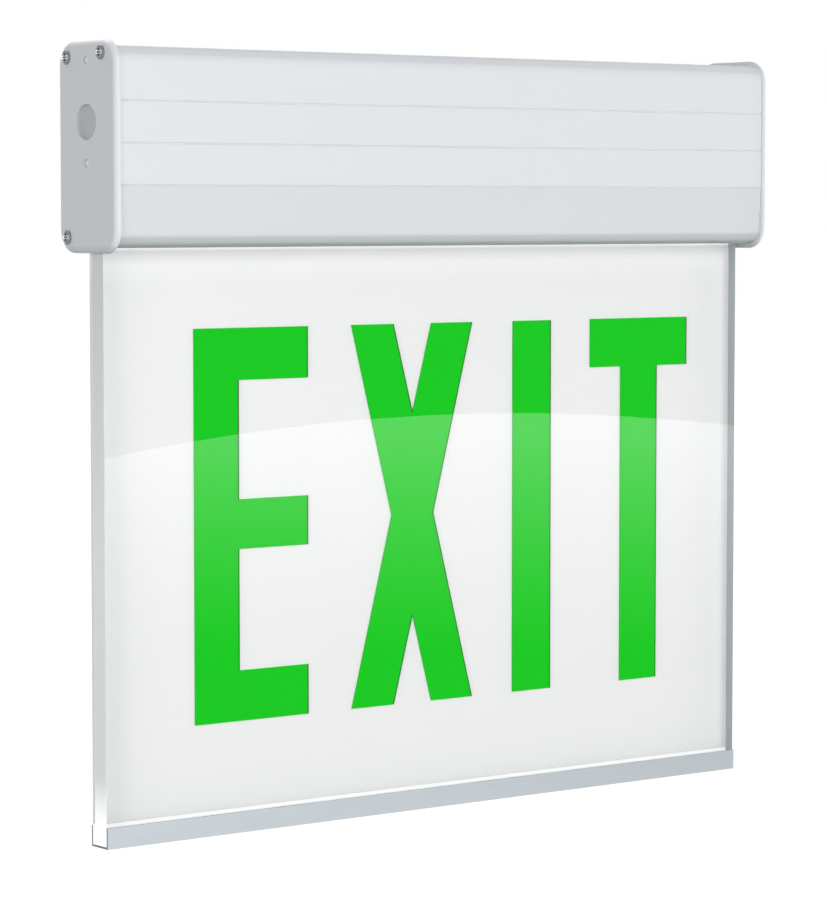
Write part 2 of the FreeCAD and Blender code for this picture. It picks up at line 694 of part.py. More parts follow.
def board_corners():
    """The four fixing places of the charger board."""
    for x in (f"{BOARD_LEFT} + board_edge", f"{BOARD_LEFT} + board_length - board_edge"):
        for side in ("-", "+"):
            yield x, f"{PLANE} {side} (board_width / 2 - board_edge)"


def charger_board():
    blank = box("board_blank", BOARD_LEFT, f"{PLANE} - board_width / 2", BOARD_BASE,
                "board_length", "board_width", "board_thickness")
    holes = [cylinder(f"board_hole_{number}", x, y, BOARD_BASE, "board_screw_shank + board_screw_play",
                      "board_thickness")
             for number, (x, y) in enumerate(board_corners(), start=1)]
    minus("charger_board", blank, *holes)


def board_standoffs():
    pillars = []
    for number, (x, y) in enumerate(board_corners(), start=1):
        pillar = prism(f"standoff_bar_{number}", x, y, TRAY_TOP, "standoff_size", "standoff_height")
        bore = cylinder(f"standoff_bore_{number}", x, y, TRAY_TOP, "board_screw_shank + standoff_grip",
                        "standoff_height")
        pillars.append(minus(f"standoff_{number}", pillar, bore))
    group("board_standoffs", pillars)


def board_screws():
    group("board_screws", [
        screw(f"board_screw_{number}", x, y, BOARD_TOP, "board_screw_shank", "board_screw_length",
              "board_screw_head", "board_screw_head_height", "+z")
        for number, (x, y) in enumerate(board_corners(), start=1)])


def transformer():
    """A laminated core with two windows, and the coil wound on its middle leg."""
    left = f"{BOARD_LEFT} + socket_length + {PART_GAP}"
    centre = f"({left} + core_length / 2)"
    window = "(core_length / 2 - 2 * core_leg)"
    window_height = "core_height - 2 * core_leg"
    blank = box("core_blank", left, f"{PLANE} - core_stack / 2", BOARD_TOP,
                "core_length", "core_stack", "core_height")
    windows = [box(f"core_window_{side}", x, f"{PLANE} - core_stack / 2", f"{BOARD_TOP} + core_leg",
                   window, "core_stack", window_height)
               for side, x in (("left", f"{left} + core_leg"), ("right", f"{centre} + core_leg"))]
    minus("transformer_core", blank, *windows)

    reach = f"(core_leg + {window} - coil_gap)"
    winding = box("coil_blank", f"{centre} - {reach}", f"{PLANE} - core_stack / 2 - coil_overhang",
                  f"{BOARD_TOP} + core_leg + coil_gap", f"2 * {reach}", "core_stack + 2 * coil_overhang",
                  f"{window_height} - 2 * coil_gap")
    leg = box("coil_opening", f"{centre} - core_leg", f"{PLANE} - core_stack / 2", f"{BOARD_TOP} + core_leg",
              "2 * core_leg", "core_stack", window_height)
    minus("transformer_coil", winding, leg)


def board_parts():
    """Capacitors, relay, supply terminals and the two lead sockets on the charger board."""
    capacitor = f"{BOARD_LEFT} + socket_length + core_length + 2 * {PART_GAP}"
    relay = f"{capacitor} + capacitor_size + {PART_GAP}"
    terminal = f"{relay} + relay_length + {PART_GAP}"
    group("capacitors", [
        cylinder(f"capacitor_{number}", f"{capacitor} + capacitor_size / 2", f"{PLANE} {side} capacitor_pitch / 2",
                 BOARD_TOP, "capacitor_size", "capacitor_height")
        for number, side in ((1, "-"), (2, "+"))])
    box("relay", relay, f"{PLANE} - relay_width / 2", BOARD_TOP, "relay_length", "relay_width", "relay_height")

    front = f"{PLANE} - terminal_width / 2"
    poles = [f"{terminal} + {number} * terminal_pitch + terminal_pitch / 2" for number in range(3)]
    block = box("terminal_blank", terminal, front, BOARD_TOP, "3 * terminal_pitch", "terminal_width",
                "terminal_height")
    entries = [cylinder(f"terminal_entry_{number}", pole, front, f"{BOARD_TOP} + terminal_entry_rise",
                        "terminal_bore", "terminal_width / 2", "y")
               for number, pole in enumerate(poles, start=1)]
    wells = [cylinder(f"terminal_well_{number}", pole, PLANE,
                      f"{BOARD_TOP} + terminal_height - terminal_well_depth", "terminal_bore", "terminal_well_depth")
             for number, pole in enumerate(poles, start=1)]
    minus("terminal_block", block, *entries, *wells)

    for name, left in (("lamp_socket", BOARD_LEFT),
                       ("battery_socket", f"{BOARD_LEFT} + board_length - socket_length")):
        box(name, left, f"{PLANE} - socket_width / 2", BOARD_TOP, "socket_length", "socket_width", "socket_height")


def battery_pack():
    """Two sticks of cells side by side in one sleeve."""
    axis = f"{PACK_BASE} + cell_size / 2"
    sticks = [cylinder(f"battery_stick_{number}", BATTERY_LEFT, f"{PLANE} {side} cell_size / 2", axis,
                       "cell_size", "cell_length", "x")
              for number, side in ((1, "-"), (2, "+"))]
    sleeve = box("battery_sleeve", BATTERY_LEFT, f"{PLANE} - cell_size / 2", PACK_BASE,
                 "cell_length", "cell_size", "cell_size")
    plus("battery_pack", *sticks, sleeve)


def battery_cradle():
    outer = box("cradle_blank", f"{BATTERY_LEFT} - cradle_gap - cradle_wall", f"{PLANE} - {CRADLE_WIDTH} / 2",
                TRAY_TOP, "cell_length + 2 * cradle_gap + 2 * cradle_wall", CRADLE_WIDTH, "cradle_height")
    inner = box("cradle_room", f"{BATTERY_LEFT} - cradle_gap", f"{PLANE} - {CRADLE_WIDTH} / 2 + cradle_wall",
                PACK_BASE, "cell_length + 2 * cradle_gap", f"{CRADLE_WIDTH} - 2 * cradle_wall", "cradle_height")
    lead_notch = box("notch", f"{BATTERY_LEFT} - cradle_gap - cradle_wall", f"{PLANE} - cradle_notch / 2",
                     f"{PACK_BASE} + cradle_wall", "cradle_wall", "cradle_notch", "cradle_height")
    minus("battery_cradle", outer, inner, lead_notch)


def tie_places():
    return [f"{BATTERY_LEFT} + tie_inset", f"{BATTERY_LEFT} + cell_length - tie_inset - tie_width"]


def battery_ties():
    """Two nylon ties round pack and cradle, through slots in the tray and under it."""
    ties = []
    side = f"({CRADLE_WIDTH} / 2 + cradle_gap)"
    base = f"{TRAY_BASE} - tie_thickness"
    for number, place in enumerate(tie_places(), start=1):
        band = box(f"tie_band_{number}", place, f"{PLANE} - {side} - tie_thickness", base, "tie_width",
                   f"2 * ({side} + tie_thickness)", f"{PACK_BASE} + cell_size + tie_thickness - ({base})")
        room = box(f"tie_room_{number}", place, f"{PLANE} - {side}", TRAY_BASE, "tie_width",
                   f"2 * {side}", f"{PACK_BASE} + cell_size - {TRAY_BASE}")
        ties.append(minus(f"battery_tie_{number}", band, room))
    group("battery_ties", ties)


# Test switch and charge lamp, both in the right end cap

def test_switch():
    """A push switch: its body behind the cap, its bushing through it and a nut outside."""
    inner = HALF_LENGTH
    mouth = f"{CAP_FACE} + bushing_reach"
    chamber = "(switch_size - 2 * switch_wall)"
    case = cylinder("switch_case", f"{inner} - switch_length", SWITCH_Y, SWITCH_Z,
                    "switch_size", "switch_length", "x")
    bushing = cylinder("switch_bushing", inner, SWITCH_Y, SWITCH_Z,
                       "bushing_size", "cap_thickness + bushing_reach", "x")
    room = cylinder("switch_room", f"{inner} - switch_length + switch_wall", SWITCH_Y, SWITCH_Z,
                    chamber, "switch_length - 2 * switch_wall", "x")
    bore = cylinder("switch_bore", f"{inner} - switch_wall", SWITCH_Y, SWITCH_Z,
                    "button_size + 2 * button_gap", f"{mouth} - {inner} + switch_wall", "x")
    minus("test_switch", plus("switch_shell", case, bushing), room, bore)

    blank = prism("switch_nut_blank", CAP_FACE, SWITCH_Y, SWITCH_Z, "switch_nut_across",
                  "switch_nut_height", "x")
    thread = cylinder("switch_nut_thread", CAP_FACE, SWITCH_Y, SWITCH_Z, "bushing_size",
                      "switch_nut_height", "x")
    minus("switch_nut", blank, thread)


def test_button():
    """The plunger: a collar that stops it in the switch, a stem and a domed end."""
    body = new_body("test_button")
    profile = sketch_on(body, "button_profile", "XZ_Plane")
    stem = "switch_wall + cap_thickness + bushing_reach + button_reach"
    collar = "-button_gap - button_collar_thickness"
    outline(profile, [
        ("0", collar), ("button_collar / 2", collar), ("button_collar / 2", "-button_gap"),
        ("button_size / 2", "-button_gap"),
        ("button_size / 2", stem), ("0", stem)])
    turn(body, profile)
    top = value(stem)
    round_edges(body, "button_end", "button_dome",
                lambda edge: all(abs(vertex.Z - top) < 1e-6 for vertex in edge.Vertexes))
    put(body, f"{HALF_LENGTH} - switch_wall", SWITCH_Y, SWITCH_Z, ((0, 1, 0), 90))


def charge_lamp():
    """A rimmed lens pushed in from outside."""
    stem = cylinder("lamp_stem", f"{CAP_FACE} - lamp_length", SWITCH_Y, LAMP_Z, "lamp_size", "lamp_length", "x")
    rim = cylinder("lamp_lens", CAP_FACE, SWITCH_Y, LAMP_Z, "lamp_rim", "lamp_rim_thickness", "x")
    crown = cylinder("lamp_crown", f"{CAP_FACE} + lamp_rim_thickness", SWITCH_Y, LAMP_Z,
                     "lamp_size", "lamp_reach - lamp_rim_thickness", "x")
    plus("charge_lamp", stem, rim, crown)


# Leads inside the housing

def leads():
    middle = f"{BOARD_TOP} + socket_height / 2"
    pack = f"{PACK_BASE} + cradle_wall + lead_size"
    tube("battery_lead", [
        (f"{BOARD_LEFT} + board_length", PLANE, middle),
        (f"{BOARD_LEFT} + board_length + lead_run", PLANE, middle),
        (f"{BATTERY_LEFT} - lead_run", PLANE, pack), (BATTERY_LEFT, PLANE, pack)], "lead_size", "lead_bend")
    board_end = f"-({CARRIER_END} + led_board_overhang)"
    turning = f"{board_end} - lead_run / 3"
    tube("lamp_lead", [
        (BOARD_LEFT, PLANE, middle), (turning, PLANE, middle),
        (turning, PLANE, f"{LED_TOP} + led_board_thickness / 2"),
        (board_end, PLANE, f"{LED_TOP} + led_board_thickness / 2")], "led_board_thickness", "lead_bend")
    tube("switch_lead", [
        (f"{HALF_LENGTH} - switch_length", SWITCH_Y, SWITCH_Z), (turning, SWITCH_Y, SWITCH_Z),
        (turning, SWITCH_Y, f"{BOARD_TOP} - board_thickness / 2"),
        (BOARD_LEFT, SWITCH_Y, f"{BOARD_TOP} - board_thickness / 2")], "board_thickness", "lead_bend")


housing_extrusion()
for cap, side in (("left", -1), ("right", 1)):
    end_cap(f"{cap}_end_cap", side)
    cap_screws(f"{cap}_cap_screws", side)
    stem_plug(f"{cap}_stem_plug", side)
light_panel()
backing_sheet()
edge_trim()
led_carrier()
led_board()
leds()
panel_fixings()
gear_tray()
charger_board()
board_standoffs()
board_screws()
transformer()
board_parts()
battery_pack()
battery_cradle()
battery_ties()
test_switch()
test_button()
charge_lamp()
leads()
doc.recompute()

NODES = [
    "housing_extrusion", "left_end_cap", "right_end_cap", "left_cap_screws", "right_cap_screws",
    "left_stem_plug", "right_stem_plug", "light_panel", "backing_sheet", "edge_trim", "led_carrier",
    "led_board", "leds", "panel_screws", "panel_nuts", "gear_tray", "charger_board", "board_standoffs",
    "board_screws", "transformer_core", "transformer_coil", "capacitors", "relay", "terminal_block",
    "battery_socket", "lamp_socket", "battery_pack", "battery_cradle", "battery_ties", "test_switch",
    "switch_nut", "test_button", "charge_lamp", "battery_lead", "lamp_lead", "switch_lead",
]
for thing in doc.Objects:
    if {"Invalid", "Error"} & set(thing.State):
        raise RuntimeError(f"{thing.Label} failed to build")
os.makedirs("parts", exist_ok=True)
for node in NODES:
    shape = doc.getObjectsByLabel(node)[0].Shape
    if shape.isNull() or not shape.isValid() or not shape.Solids:
        raise RuntimeError(f"{node} has no valid solid")
    shape.exportStep(f"parts/{node}.step")
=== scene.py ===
"""Finishes for an edge-lit emergency exit light: a painted extruded housing with cast end caps,
a clear sign panel with a white backing, and the lamp, charger and battery that the housing holds.
"""

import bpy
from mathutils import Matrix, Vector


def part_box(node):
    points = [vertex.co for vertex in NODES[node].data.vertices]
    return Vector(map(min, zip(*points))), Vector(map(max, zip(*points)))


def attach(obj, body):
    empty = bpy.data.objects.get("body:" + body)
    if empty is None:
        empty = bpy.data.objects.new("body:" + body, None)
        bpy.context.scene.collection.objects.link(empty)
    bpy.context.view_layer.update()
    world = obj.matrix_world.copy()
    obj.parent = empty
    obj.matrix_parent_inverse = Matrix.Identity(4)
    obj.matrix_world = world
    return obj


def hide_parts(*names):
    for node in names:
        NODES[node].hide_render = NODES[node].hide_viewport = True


bl_info = {
    "name": "Exit light",
    "version": (1, 0, 0),
    "blender": (4, 5, 0),
    "location": "3D View > Sidebar > Exit light",
    "description": "Paint, clear sheet, legend, screws and fittings of an edge-lit exit light",
    "category": "Object",
}
import math

import bmesh
import bpy
from mathutils import Vector

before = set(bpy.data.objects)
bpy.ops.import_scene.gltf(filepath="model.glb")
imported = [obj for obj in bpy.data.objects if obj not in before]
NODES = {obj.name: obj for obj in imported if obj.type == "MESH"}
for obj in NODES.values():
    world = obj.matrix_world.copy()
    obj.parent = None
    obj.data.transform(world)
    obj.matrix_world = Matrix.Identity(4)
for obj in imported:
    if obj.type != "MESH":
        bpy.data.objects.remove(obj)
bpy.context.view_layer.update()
PANEL_LOW, PANEL_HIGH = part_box("light_panel")
HOUSING_LOW, HOUSING_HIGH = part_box("housing_extrusion")
LEFT_CAP_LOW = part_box("left_end_cap")[0]
RIGHT_CAP_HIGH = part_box("right_end_cap")[1]
TRIM_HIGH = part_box("edge_trim")[1]
FACE_FOOT = HOUSING_HIGH.z - 0.0515     # where the leaning foot of the housing's face begins
SAME_POINT = 2e-6       # corners nearer than this are one
FLAT_TURN = 0.4         # degrees; faces that turn less than this are one
SHARP_TURN = 40         # degrees; an edge that turns more than this is rounded
ON_FACE = 1e-5          # a corner this near a face lies on it
BACKING_EDGE = 0.00015
NUT_EDGE = 0.00025
WHITE = (1.0, 1.0, 1.0, 1.0)

# Painted shade and painted light, in bands along a height: how far from an edge each begins and is whole, and its
# share there
# Painted shade in the coats: the housing darker below its face's leaning foot, along its lower edge and underside,
# and along its upper edge
FACE_PAINTED_SHADE = ((0.0, 0.0003, 0.925),)
HOUSING_FOOT_PAINTED_SHADE = ((0.0048, 0.0036, 0.80), (0.0018, 0.0008, 0.70), (0.0005, 0.0001, 0.60))
HOUSING_HEAD_PAINTED_SHADE = ((0.0034, 0.0029, 0.92), (0.0014, 0.0009, 0.89))
# Painted shade on the caps: darker along their lower edge
CAP_FOOT_PAINTED_SHADE = ((0.0030, 0.0018, 0.86), (0.0012, 0.0004, 0.80))
# Painted light on the backing: a bright line under the housing and above the channel, and a weaker glow under the
# housing that lifts its shadow
SHEET_HEAD_PAINTED_LIGHT = ((0.0016, 0.0006, 1.0), (0.0150, 0.0010, 0.30))
SHEET_FOOT_PAINTED_LIGHT = ((0.0007, 0.0002, 1.0),)
SHEET_PAINTED_GLOW = 0.40    # painted light: a glow at the head and foot of the white sheet, standing in for the lamps' light

SHEET_COLOUR = (0.990, 0.993, 0.991, 1.0)
SHEET_SHADOW = (0.984, 0.986, 0.985, 1.0)   # what light keeps on its way through the sheet
SHEET_IOR = 1.49
SHEET_WAVE = 14.0       # scale and depth of the waves in the sheet's faces
SHEET_WAVE_DEPTH = 0.00002
SHEET_PLAY = 0.00005    # the sheet clear of the backing and of the channel

SAWN_PAINTED_SHADE_BEHIND = (0.595, 0.615, 0.645)     # painted shade: what the sawn edge keeps of its colour, seen through the sheet
SAWN_PAINTED_GLOW = 0.55        # painted light: a glow for lamp light that leaves the sheet by its sawn edge
SAWN_PAINTED_GLOW_SHARE = 0.22  # its share along the height, before it rises at the foot and falls at the head
SAWN_FOOT_RISE = 0.018
# Where the painted glow falls under the housing, in painted shade
SAWN_HEAD_START = 0.110
SAWN_HEAD_END = 0.020
SAWN_HEAD_PAINTED_SHADE = 0.19

# The letters' proportions: of the height, of the stroke and of the crossed letter's width
ARM_MIDDLE = 0.4977
ARM_HALF = 0.0633
NOTCH_DEPTH = 0.233
FIRST_STEM = 1.03
FIRST_FOOT = 0.98
WAIST_HALF = 0.172
NOTCH_HALF = 0.1565
LEGEND_PLAY = 0.00012   # the letters clear of the sheet's back
LEGEND_EDGE = 0.00008
PAINTED_SHADE_FRONT = 0.00006    # front and back of the painted shade strips, before the letters' face
PAINTED_SHADE_BACK = 0.00001
INK_GRAIN = (1100.0, 1100.0, 1100.0)

# Screws: width and height of the head, width and length of the shank
CAP_SCREW = (0.0056, 0.0009, 0.0024, 0.0120)
PANEL_SCREW = (0.0055, 0.0018, 0.0030, 0.0159)
BOARD_SCREW = (0.0050, 0.0016, 0.0025, 0.0056)
PANEL_SCREW_SEAT = 0.0127       # the heads' seat before the front of the nuts
PANEL_SCREW_TURN = 0.6
BOARD_SCREW_TURN = 0.9
SCREW_GRAIN = (900.0, 900.0, 900.0)
SLOT_PAINTED_HIGHLIGHT = 0.28       # painted highlight: a white glow in the slot across a screw's head
THREAD_DEPTH = 0.3      # of the shank's radius, between two crests
BLANK_DOME = (0.96, 5.0)        # how far up its dome a turned piece goes, and how flat the dome is
HEAD_DOME = (0.93, 3.2)


# Sizes and colours

def colour(name, text, value):
    return bpy.props.FloatVectorProperty(name=name, description=text, subtype="COLOR", size=3,
                                         min=0.0, max=1.0, default=value)


def length(name, text, value):
    return bpy.props.FloatProperty(name=name, description=text, unit="LENGTH", min=0.0,
                                   precision=5, default=value)


class ExitLightColours(bpy.types.PropertyGroup):
    """Colours of the finishes"""
    housing_paint: colour("Housing paint", "Powder coat on the extruded housing", (0.760, 0.795, 0.825))
    cap_paint: colour("Cap paint", "Powder coat on the cast end caps", (0.762, 0.797, 0.827))
    legend_ink: colour("Legend", "Green ink of the legend", (0.0065, 0.640, 0.0130))
    backing_sheet: colour("Backing", "White sheet behind the panel", (0.920, 0.920, 0.922))
    sawn_edge: colour("Sawn edge", "Cut edges of the clear sheet", (0.840, 0.870, 0.870))
    trim_metal: colour("Trim", "Anodised channel under the panel", (0.575, 0.618, 0.650))
    plug_grey: colour("Plugs", "Moulded blanks behind the stem holes", (0.600, 0.615, 0.625))
    button_red: colour("Test button", "Moulded test button", (0.480, 0.010, 0.008))
    lamp_red: colour("Charge lamp", "Lens of the charge lamp", (0.520, 0.012, 0.010))


class ExitLightSizes(bpy.types.PropertyGroup):
    """Sizes of what is added to the frame"""
    legend_height: length("Legend height", "Height of the letters", 0.1524)
    legend_drop: length("Legend drop", "Top of the letters below the housing", 0.0311)
    legend_shift: bpy.props.FloatProperty(name="Legend shift", unit="LENGTH", precision=5, default=0.00965,
                                          description="Middle of the legend to the right of the panel's middle")
    legend_depth: length("Legend depth", "How deep the letters are let into the sheet", 0.0006)
    # The legend's dark strip is painted shade along the letters' right-hand edges
    legend_painted_shade: length("Legend painted shade", "Width of the painted shade on a letter's right-hand edges", 0.0004)
    stroke: length("Stroke", "Thickness of a letter's stroke", 0.0201)
    letter_gap: length("Letter gap", "Space between two letters", 0.0212)
    wide_letter: length("Wide letter", "Width of the first and last letters", 0.0535)
    crossed_letter: length("Crossed letter", "Width of the letter of two crossed strokes", 0.0607)
    sheet_edge: length("Sheet edge", "Broken edge of the clear sheet", 0.00025)
    trim_edge: length("Trim edge", "Broken edge of the channel", 0.00012)
    recess_width: length("Recess width", "Length of one arm of a screw's cross", 0.0031)
    recess_slot: length("Recess slot", "Width of one arm of a screw's cross", 0.0007)
    blank_size: length("Blank size", "Width of the blanks in an end cap's small holes", 0.00322)
    blank_depth: length("Blank depth", "Foot of a blank below the end cap's face", 0.00135)
    blank_above: length("Upper blank", "Upper small hole above the stem hole", 0.0230)
    blank_below: length("Lower blank", "Lower small hole below the stem hole", 0.0152)


def sizes():
    return bpy.context.scene.exit_light_sizes


def colours():
    return bpy.context.scene.exit_light_colours


# Building node trees

def wire(tree, kind, inputs=(), **settings):
    """Adds a node; its inputs take numbers, colours or other nodes' outputs."""
    made = tree.nodes.new(kind)
    made.location = (190 * (len(tree.nodes) % 12), -260 * (len(tree.nodes) // 12))
    for name, setting in settings.items():
        setattr(made, name, setting)
    for key, source in dict(inputs).items():
        if isinstance(source, bpy.types.NodeSocket):
            tree.links.new(source, made.inputs[key])
        else:
            made.inputs[key].default_value = source
    return made


def new_group(name, kind, inputs, outputs):
    """A node group with named sockets; returns the tree, its input node and its output node."""
    tree = bpy.data.node_groups.new(name, kind)
    for label, socket_kind, value in inputs:
        socket = tree.interface.new_socket(name=label, in_out="INPUT", socket_type=socket_kind)
        if value is not None:
            socket.default_value = value
    for label, socket_kind in outputs:
        tree.interface.new_socket(name=label, in_out="OUTPUT", socket_type=socket_kind)
    return tree, wire(tree, "NodeGroupInput"), wire(tree, "NodeGroupOutput")


def math_node(tree, operation, first, second=0.0):
    return wire(tree, "ShaderNodeMath", {0: first, 1: second}, operation=operation).outputs[0]


def object_height(tree):
    """Height on the piece's own coordinates."""
    place = wire(tree, "ShaderNodeTexCoord").outputs["Object"]
    return wire(tree, "ShaderNodeSeparateXYZ", {0: place}).outputs["Z"]


def bands(edge, way, steps):
    """Heights and shares of bands above an edge, where way is 1, or below it, where way is -1."""
    return [(edge + way * start, edge + way * whole, share) for start, whole, share in steps]


def new_material(name):
    """A material; returns it with its tree and its shader."""
    material = bpy.data.materials.new(name)
    material.use_nodes = True
    return material, material.node_tree, material.node_tree.nodes["Principled BSDF"]


def surface_grain():
    """Fine grain and slow changes of tone, on the piece's own coordinates."""
    if "surface grain" in bpy.data.node_groups:
        return bpy.data.node_groups["surface grain"]
    tree, given, result = new_group(
        "surface grain", "ShaderNodeTree",
        [("Color", "NodeSocketColor", (0.8, 0.8, 0.8, 1.0)), ("Tone Spread", "NodeSocketFloat", 0.03),
         ("Roughness", "NodeSocketFloat", 0.4), ("Roughness Spread", "NodeSocketFloat", 0.06),
         ("Grain Scale", "NodeSocketVector", (900.0, 900.0, 900.0)), ("Grain Depth", "NodeSocketFloat", 0.00002)],
        [("Color", "NodeSocketColor"), ("Roughness", "NodeSocketFloat"), ("Normal", "NodeSocketVector")])
    place = wire(tree, "ShaderNodeTexCoord").outputs["Object"]
    fine_place = wire(tree, "ShaderNodeVectorMath", {0: place, 1: given.outputs["Grain Scale"]},
                      operation="MULTIPLY").outputs[0]
    slow_place = wire(tree, "ShaderNodeVectorMath", {0: fine_place, 1: (0.035, 0.035, 0.035)},
                      operation="MULTIPLY").outputs[0]
    fine = wire(tree, "ShaderNodeTexNoise", {"Vector": fine_place, "Scale": 1.0, "Detail": 3.0}).outputs["Fac"]
    slow = wire(tree, "ShaderNodeTexNoise", {"Vector": slow_place, "Scale": 1.0, "Detail": 2.0}).outputs["Fac"]
    both = math_node(tree, "ADD", fine, slow)
    change = math_node(tree, "SUBTRACT", both, 1.0)
    tone = math_node(tree, "ADD", math_node(tree, "MULTIPLY", change, given.outputs["Tone Spread"]), 1.0)
    toned = wire(tree, "ShaderNodeVectorMath", {0: given.outputs["Color"], 1: tone}, operation="MULTIPLY")
    rough = math_node(tree, "ADD", math_node(tree, "MULTIPLY", change, given.outputs["Roughness Spread"]),
                      given.outputs["Roughness"])
    bump = wire(tree, "ShaderNodeBump", {"Strength": 1.0, "Distance": given.outputs["Grain Depth"], "Height": fine})
    tree.links.new(toned.outputs[0], result.inputs["Color"])
    tree.links.new(rough, result.inputs["Roughness"])
    tree.links.new(bump.outputs["Normal"], result.inputs["Normal"])
    return tree


def finish(name, base, roughness, scale, depth, tone=0.03, spread=0.06, **sockets):
    """A material whose colour, roughness and normal come from the surface grain."""
    if name in bpy.data.materials:
        return bpy.data.materials[name]
    material, tree, shader = new_material(name)
    grain = wire(tree, "ShaderNodeGroup", node_tree=surface_grain())
    for key, value in (("Color", (*base, 1.0)), ("Tone Spread", tone), ("Roughness", roughness),
                       ("Roughness Spread", spread), ("Grain Scale", scale), ("Grain Depth", depth)):
        grain.inputs[key].default_value = value
    for source, target in (("Color", "Base Color"), ("Roughness", "Roughness"), ("Normal", "Normal")):
        tree.links.new(grain.outputs[source], shader.inputs[target])
    for key, value in sockets.items():
        shader.inputs[key.replace("_", " ")].default_value = value
    return material


def powder_coat(name, base):
    return finish(name, base, 0.42, (1300.0, 1300.0, 1300.0), 0.000012, tone=0.012, Coat_Weight=0.12,
                  Coat_Roughness=0.25)


def paint_shade_by_height(material, steps):
    """Paints shade into a coat's colour in steps along its height."""
    tree = material.node_tree
    base = tree.nodes["Principled BSDF"].inputs["Base Color"]
    height = object_height(tree)
    tone = 1.0
    for start, whole, share in steps:
        step = wire(tree, "ShaderNodeMapRange", {0: height, 1: start, 2: whole, 3: 1.0, 4: share}).outputs[0]
        tone = math_node(tree, "MULTIPLY", tone, step)
    toned = wire(tree, "ShaderNodeVectorMath", {0: base.links[0].from_socket, 1: tone}, operation="MULTIPLY")
    tree.links.new(toned.outputs[0], base)


def drawn_metal(name, base, roughness=0.34, along=(60.0, 2600.0, 2600.0)):
    return finish(name, base, roughness, along, 0.000006, tone=0.06, spread=0.12, Metallic=1.0)


def moulding(name, base, roughness=0.45, **sockets):
    return finish(name, base, roughness, (1800.0, 1800.0, 1800.0), 0.000008, tone=0.03, **sockets)


def clear_sheet():
    """Clear cast sheet; light passes straight through it to what lies behind."""
    if "clear acrylic" in bpy.data.materials:
        return bpy.data.materials["clear acrylic"]
    material, tree, shader = new_material("clear acrylic")
    shader.inputs["Base Color"].default_value = SHEET_COLOUR
    shader.inputs["Roughness"].default_value = 0.0
    shader.inputs["IOR"].default_value = SHEET_IOR
    shader.inputs["Transmission Weight"].default_value = 1.0
    place = wire(tree, "ShaderNodeTexCoord").outputs["Object"]
    wave = wire(tree, "ShaderNodeTexNoise", {"Vector": place, "Scale": SHEET_WAVE, "Detail": 1.0}).outputs["Fac"]
    bump = wire(tree, "ShaderNodeBump", {"Strength": 1.0, "Distance": SHEET_WAVE_DEPTH, "Height": wave})
    tree.links.new(bump.outputs["Normal"], shader.inputs["Normal"])
    passing = wire(tree, "ShaderNodeBsdfTransparent", {"Color": SHEET_SHADOW})
    rays = wire(tree, "ShaderNodeLightPath").outputs
    lighting = math_node(tree, "MAXIMUM", rays["Is Shadow Ray"],
                         math_node(tree, "GREATER_THAN", rays["Diffuse Depth"], 0.5))
    mixed = wire(tree, "ShaderNodeMixShader", {0: lighting, 1: shader.outputs[0], 2: passing.outputs[0]})
    tree.links.new(mixed.outputs[0], tree.nodes["Material Output"].inputs["Surface"])
    return material


def sawn_edge():
    """Sawn edge of the sheet, with painted light and shade: a painted glow from outside, and painted shade, darker
    and bluer, seen through the sheet.
    """
    material = finish("sawn sheet edge with painted light and shade", colours().sawn_edge, 0.55, (1400.0, 1400.0, 90.0), 0.00002, tone=0.10,
                      spread=0.1)
    tree = material.node_tree
    shader = tree.nodes["Principled BSDF"]
    outside = shader.inputs["Base Color"].links[0].from_socket
    # Painted shade: darker and bluer where the edge is seen through the sheet
    inside = wire(tree, "ShaderNodeVectorMath", {0: outside, 1: SAWN_PAINTED_SHADE_BEHIND}, operation="MULTIPLY").outputs[0]
    behind = wire(tree, "ShaderNodeNewGeometry").outputs["Backfacing"]
    either = wire(tree, "ShaderNodeMix", {0: behind, 6: outside, 7: inside}, data_type="RGBA").outputs[2]
    tree.links.new(either, shader.inputs["Base Color"])
    # Painted light: the glow rises at the foot and falls under the housing in painted shade, and shows only from
    # outside
    height = object_height(tree)
    foot = wire(tree, "ShaderNodeMapRange", {0: height, 1: TRIM_HIGH.z + SAWN_FOOT_RISE, 2: TRIM_HIGH.z,
                                             3: SAWN_PAINTED_GLOW_SHARE, 4: 1.0})
    head = wire(tree, "ShaderNodeMapRange", {0: height, 1: HOUSING_LOW.z - SAWN_HEAD_START,
                                             2: HOUSING_LOW.z - SAWN_HEAD_END, 3: 0.0, 4: SAWN_HEAD_PAINTED_SHADE})
    along = math_node(tree, "SUBTRACT", foot.outputs[0], head.outputs[0])
    lit = math_node(tree, "MULTIPLY", along, math_node(tree, "SUBTRACT", 1.0, behind))
    tree.links.new(lit, shader.inputs["Emission Color"])
    shader.inputs["Emission Strength"].default_value = SAWN_PAINTED_GLOW
    return material


# Meshes

def cover(node, material):
    """Gives a CAD node a finish."""
    for place in NODES[node].material_slots:
        place.material = material


def new_piece(name, mesh):
    piece = bpy.data.objects.new(name, mesh)
    bpy.context.scene.collection.objects.link(piece)
    return piece


def settle(piece, slot, *nodes, body="light"):
    """Gives a finished piece its body and hides the nodes that it stands for; the slot is not used."""
    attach(piece, body)
    if nodes:
        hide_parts(*nodes)
    return piece


def plain_mesh(piece):
    """Turns a piece and its modifiers into a plain mesh."""
    seen = piece.evaluated_get(bpy.context.evaluated_depsgraph_get())
    mesh = bpy.data.meshes.new_from_object(seen, preserve_all_data_layers=True,
                                           depsgraph=bpy.context.evaluated_depsgraph_get())
    piece.modifiers.clear()
    piece.data = mesh
    return piece


def smooth_by_angle(mesh, degrees):
    mesh.shade_smooth()
    mesh.set_sharp_from_angle(angle=math.radians(degrees))


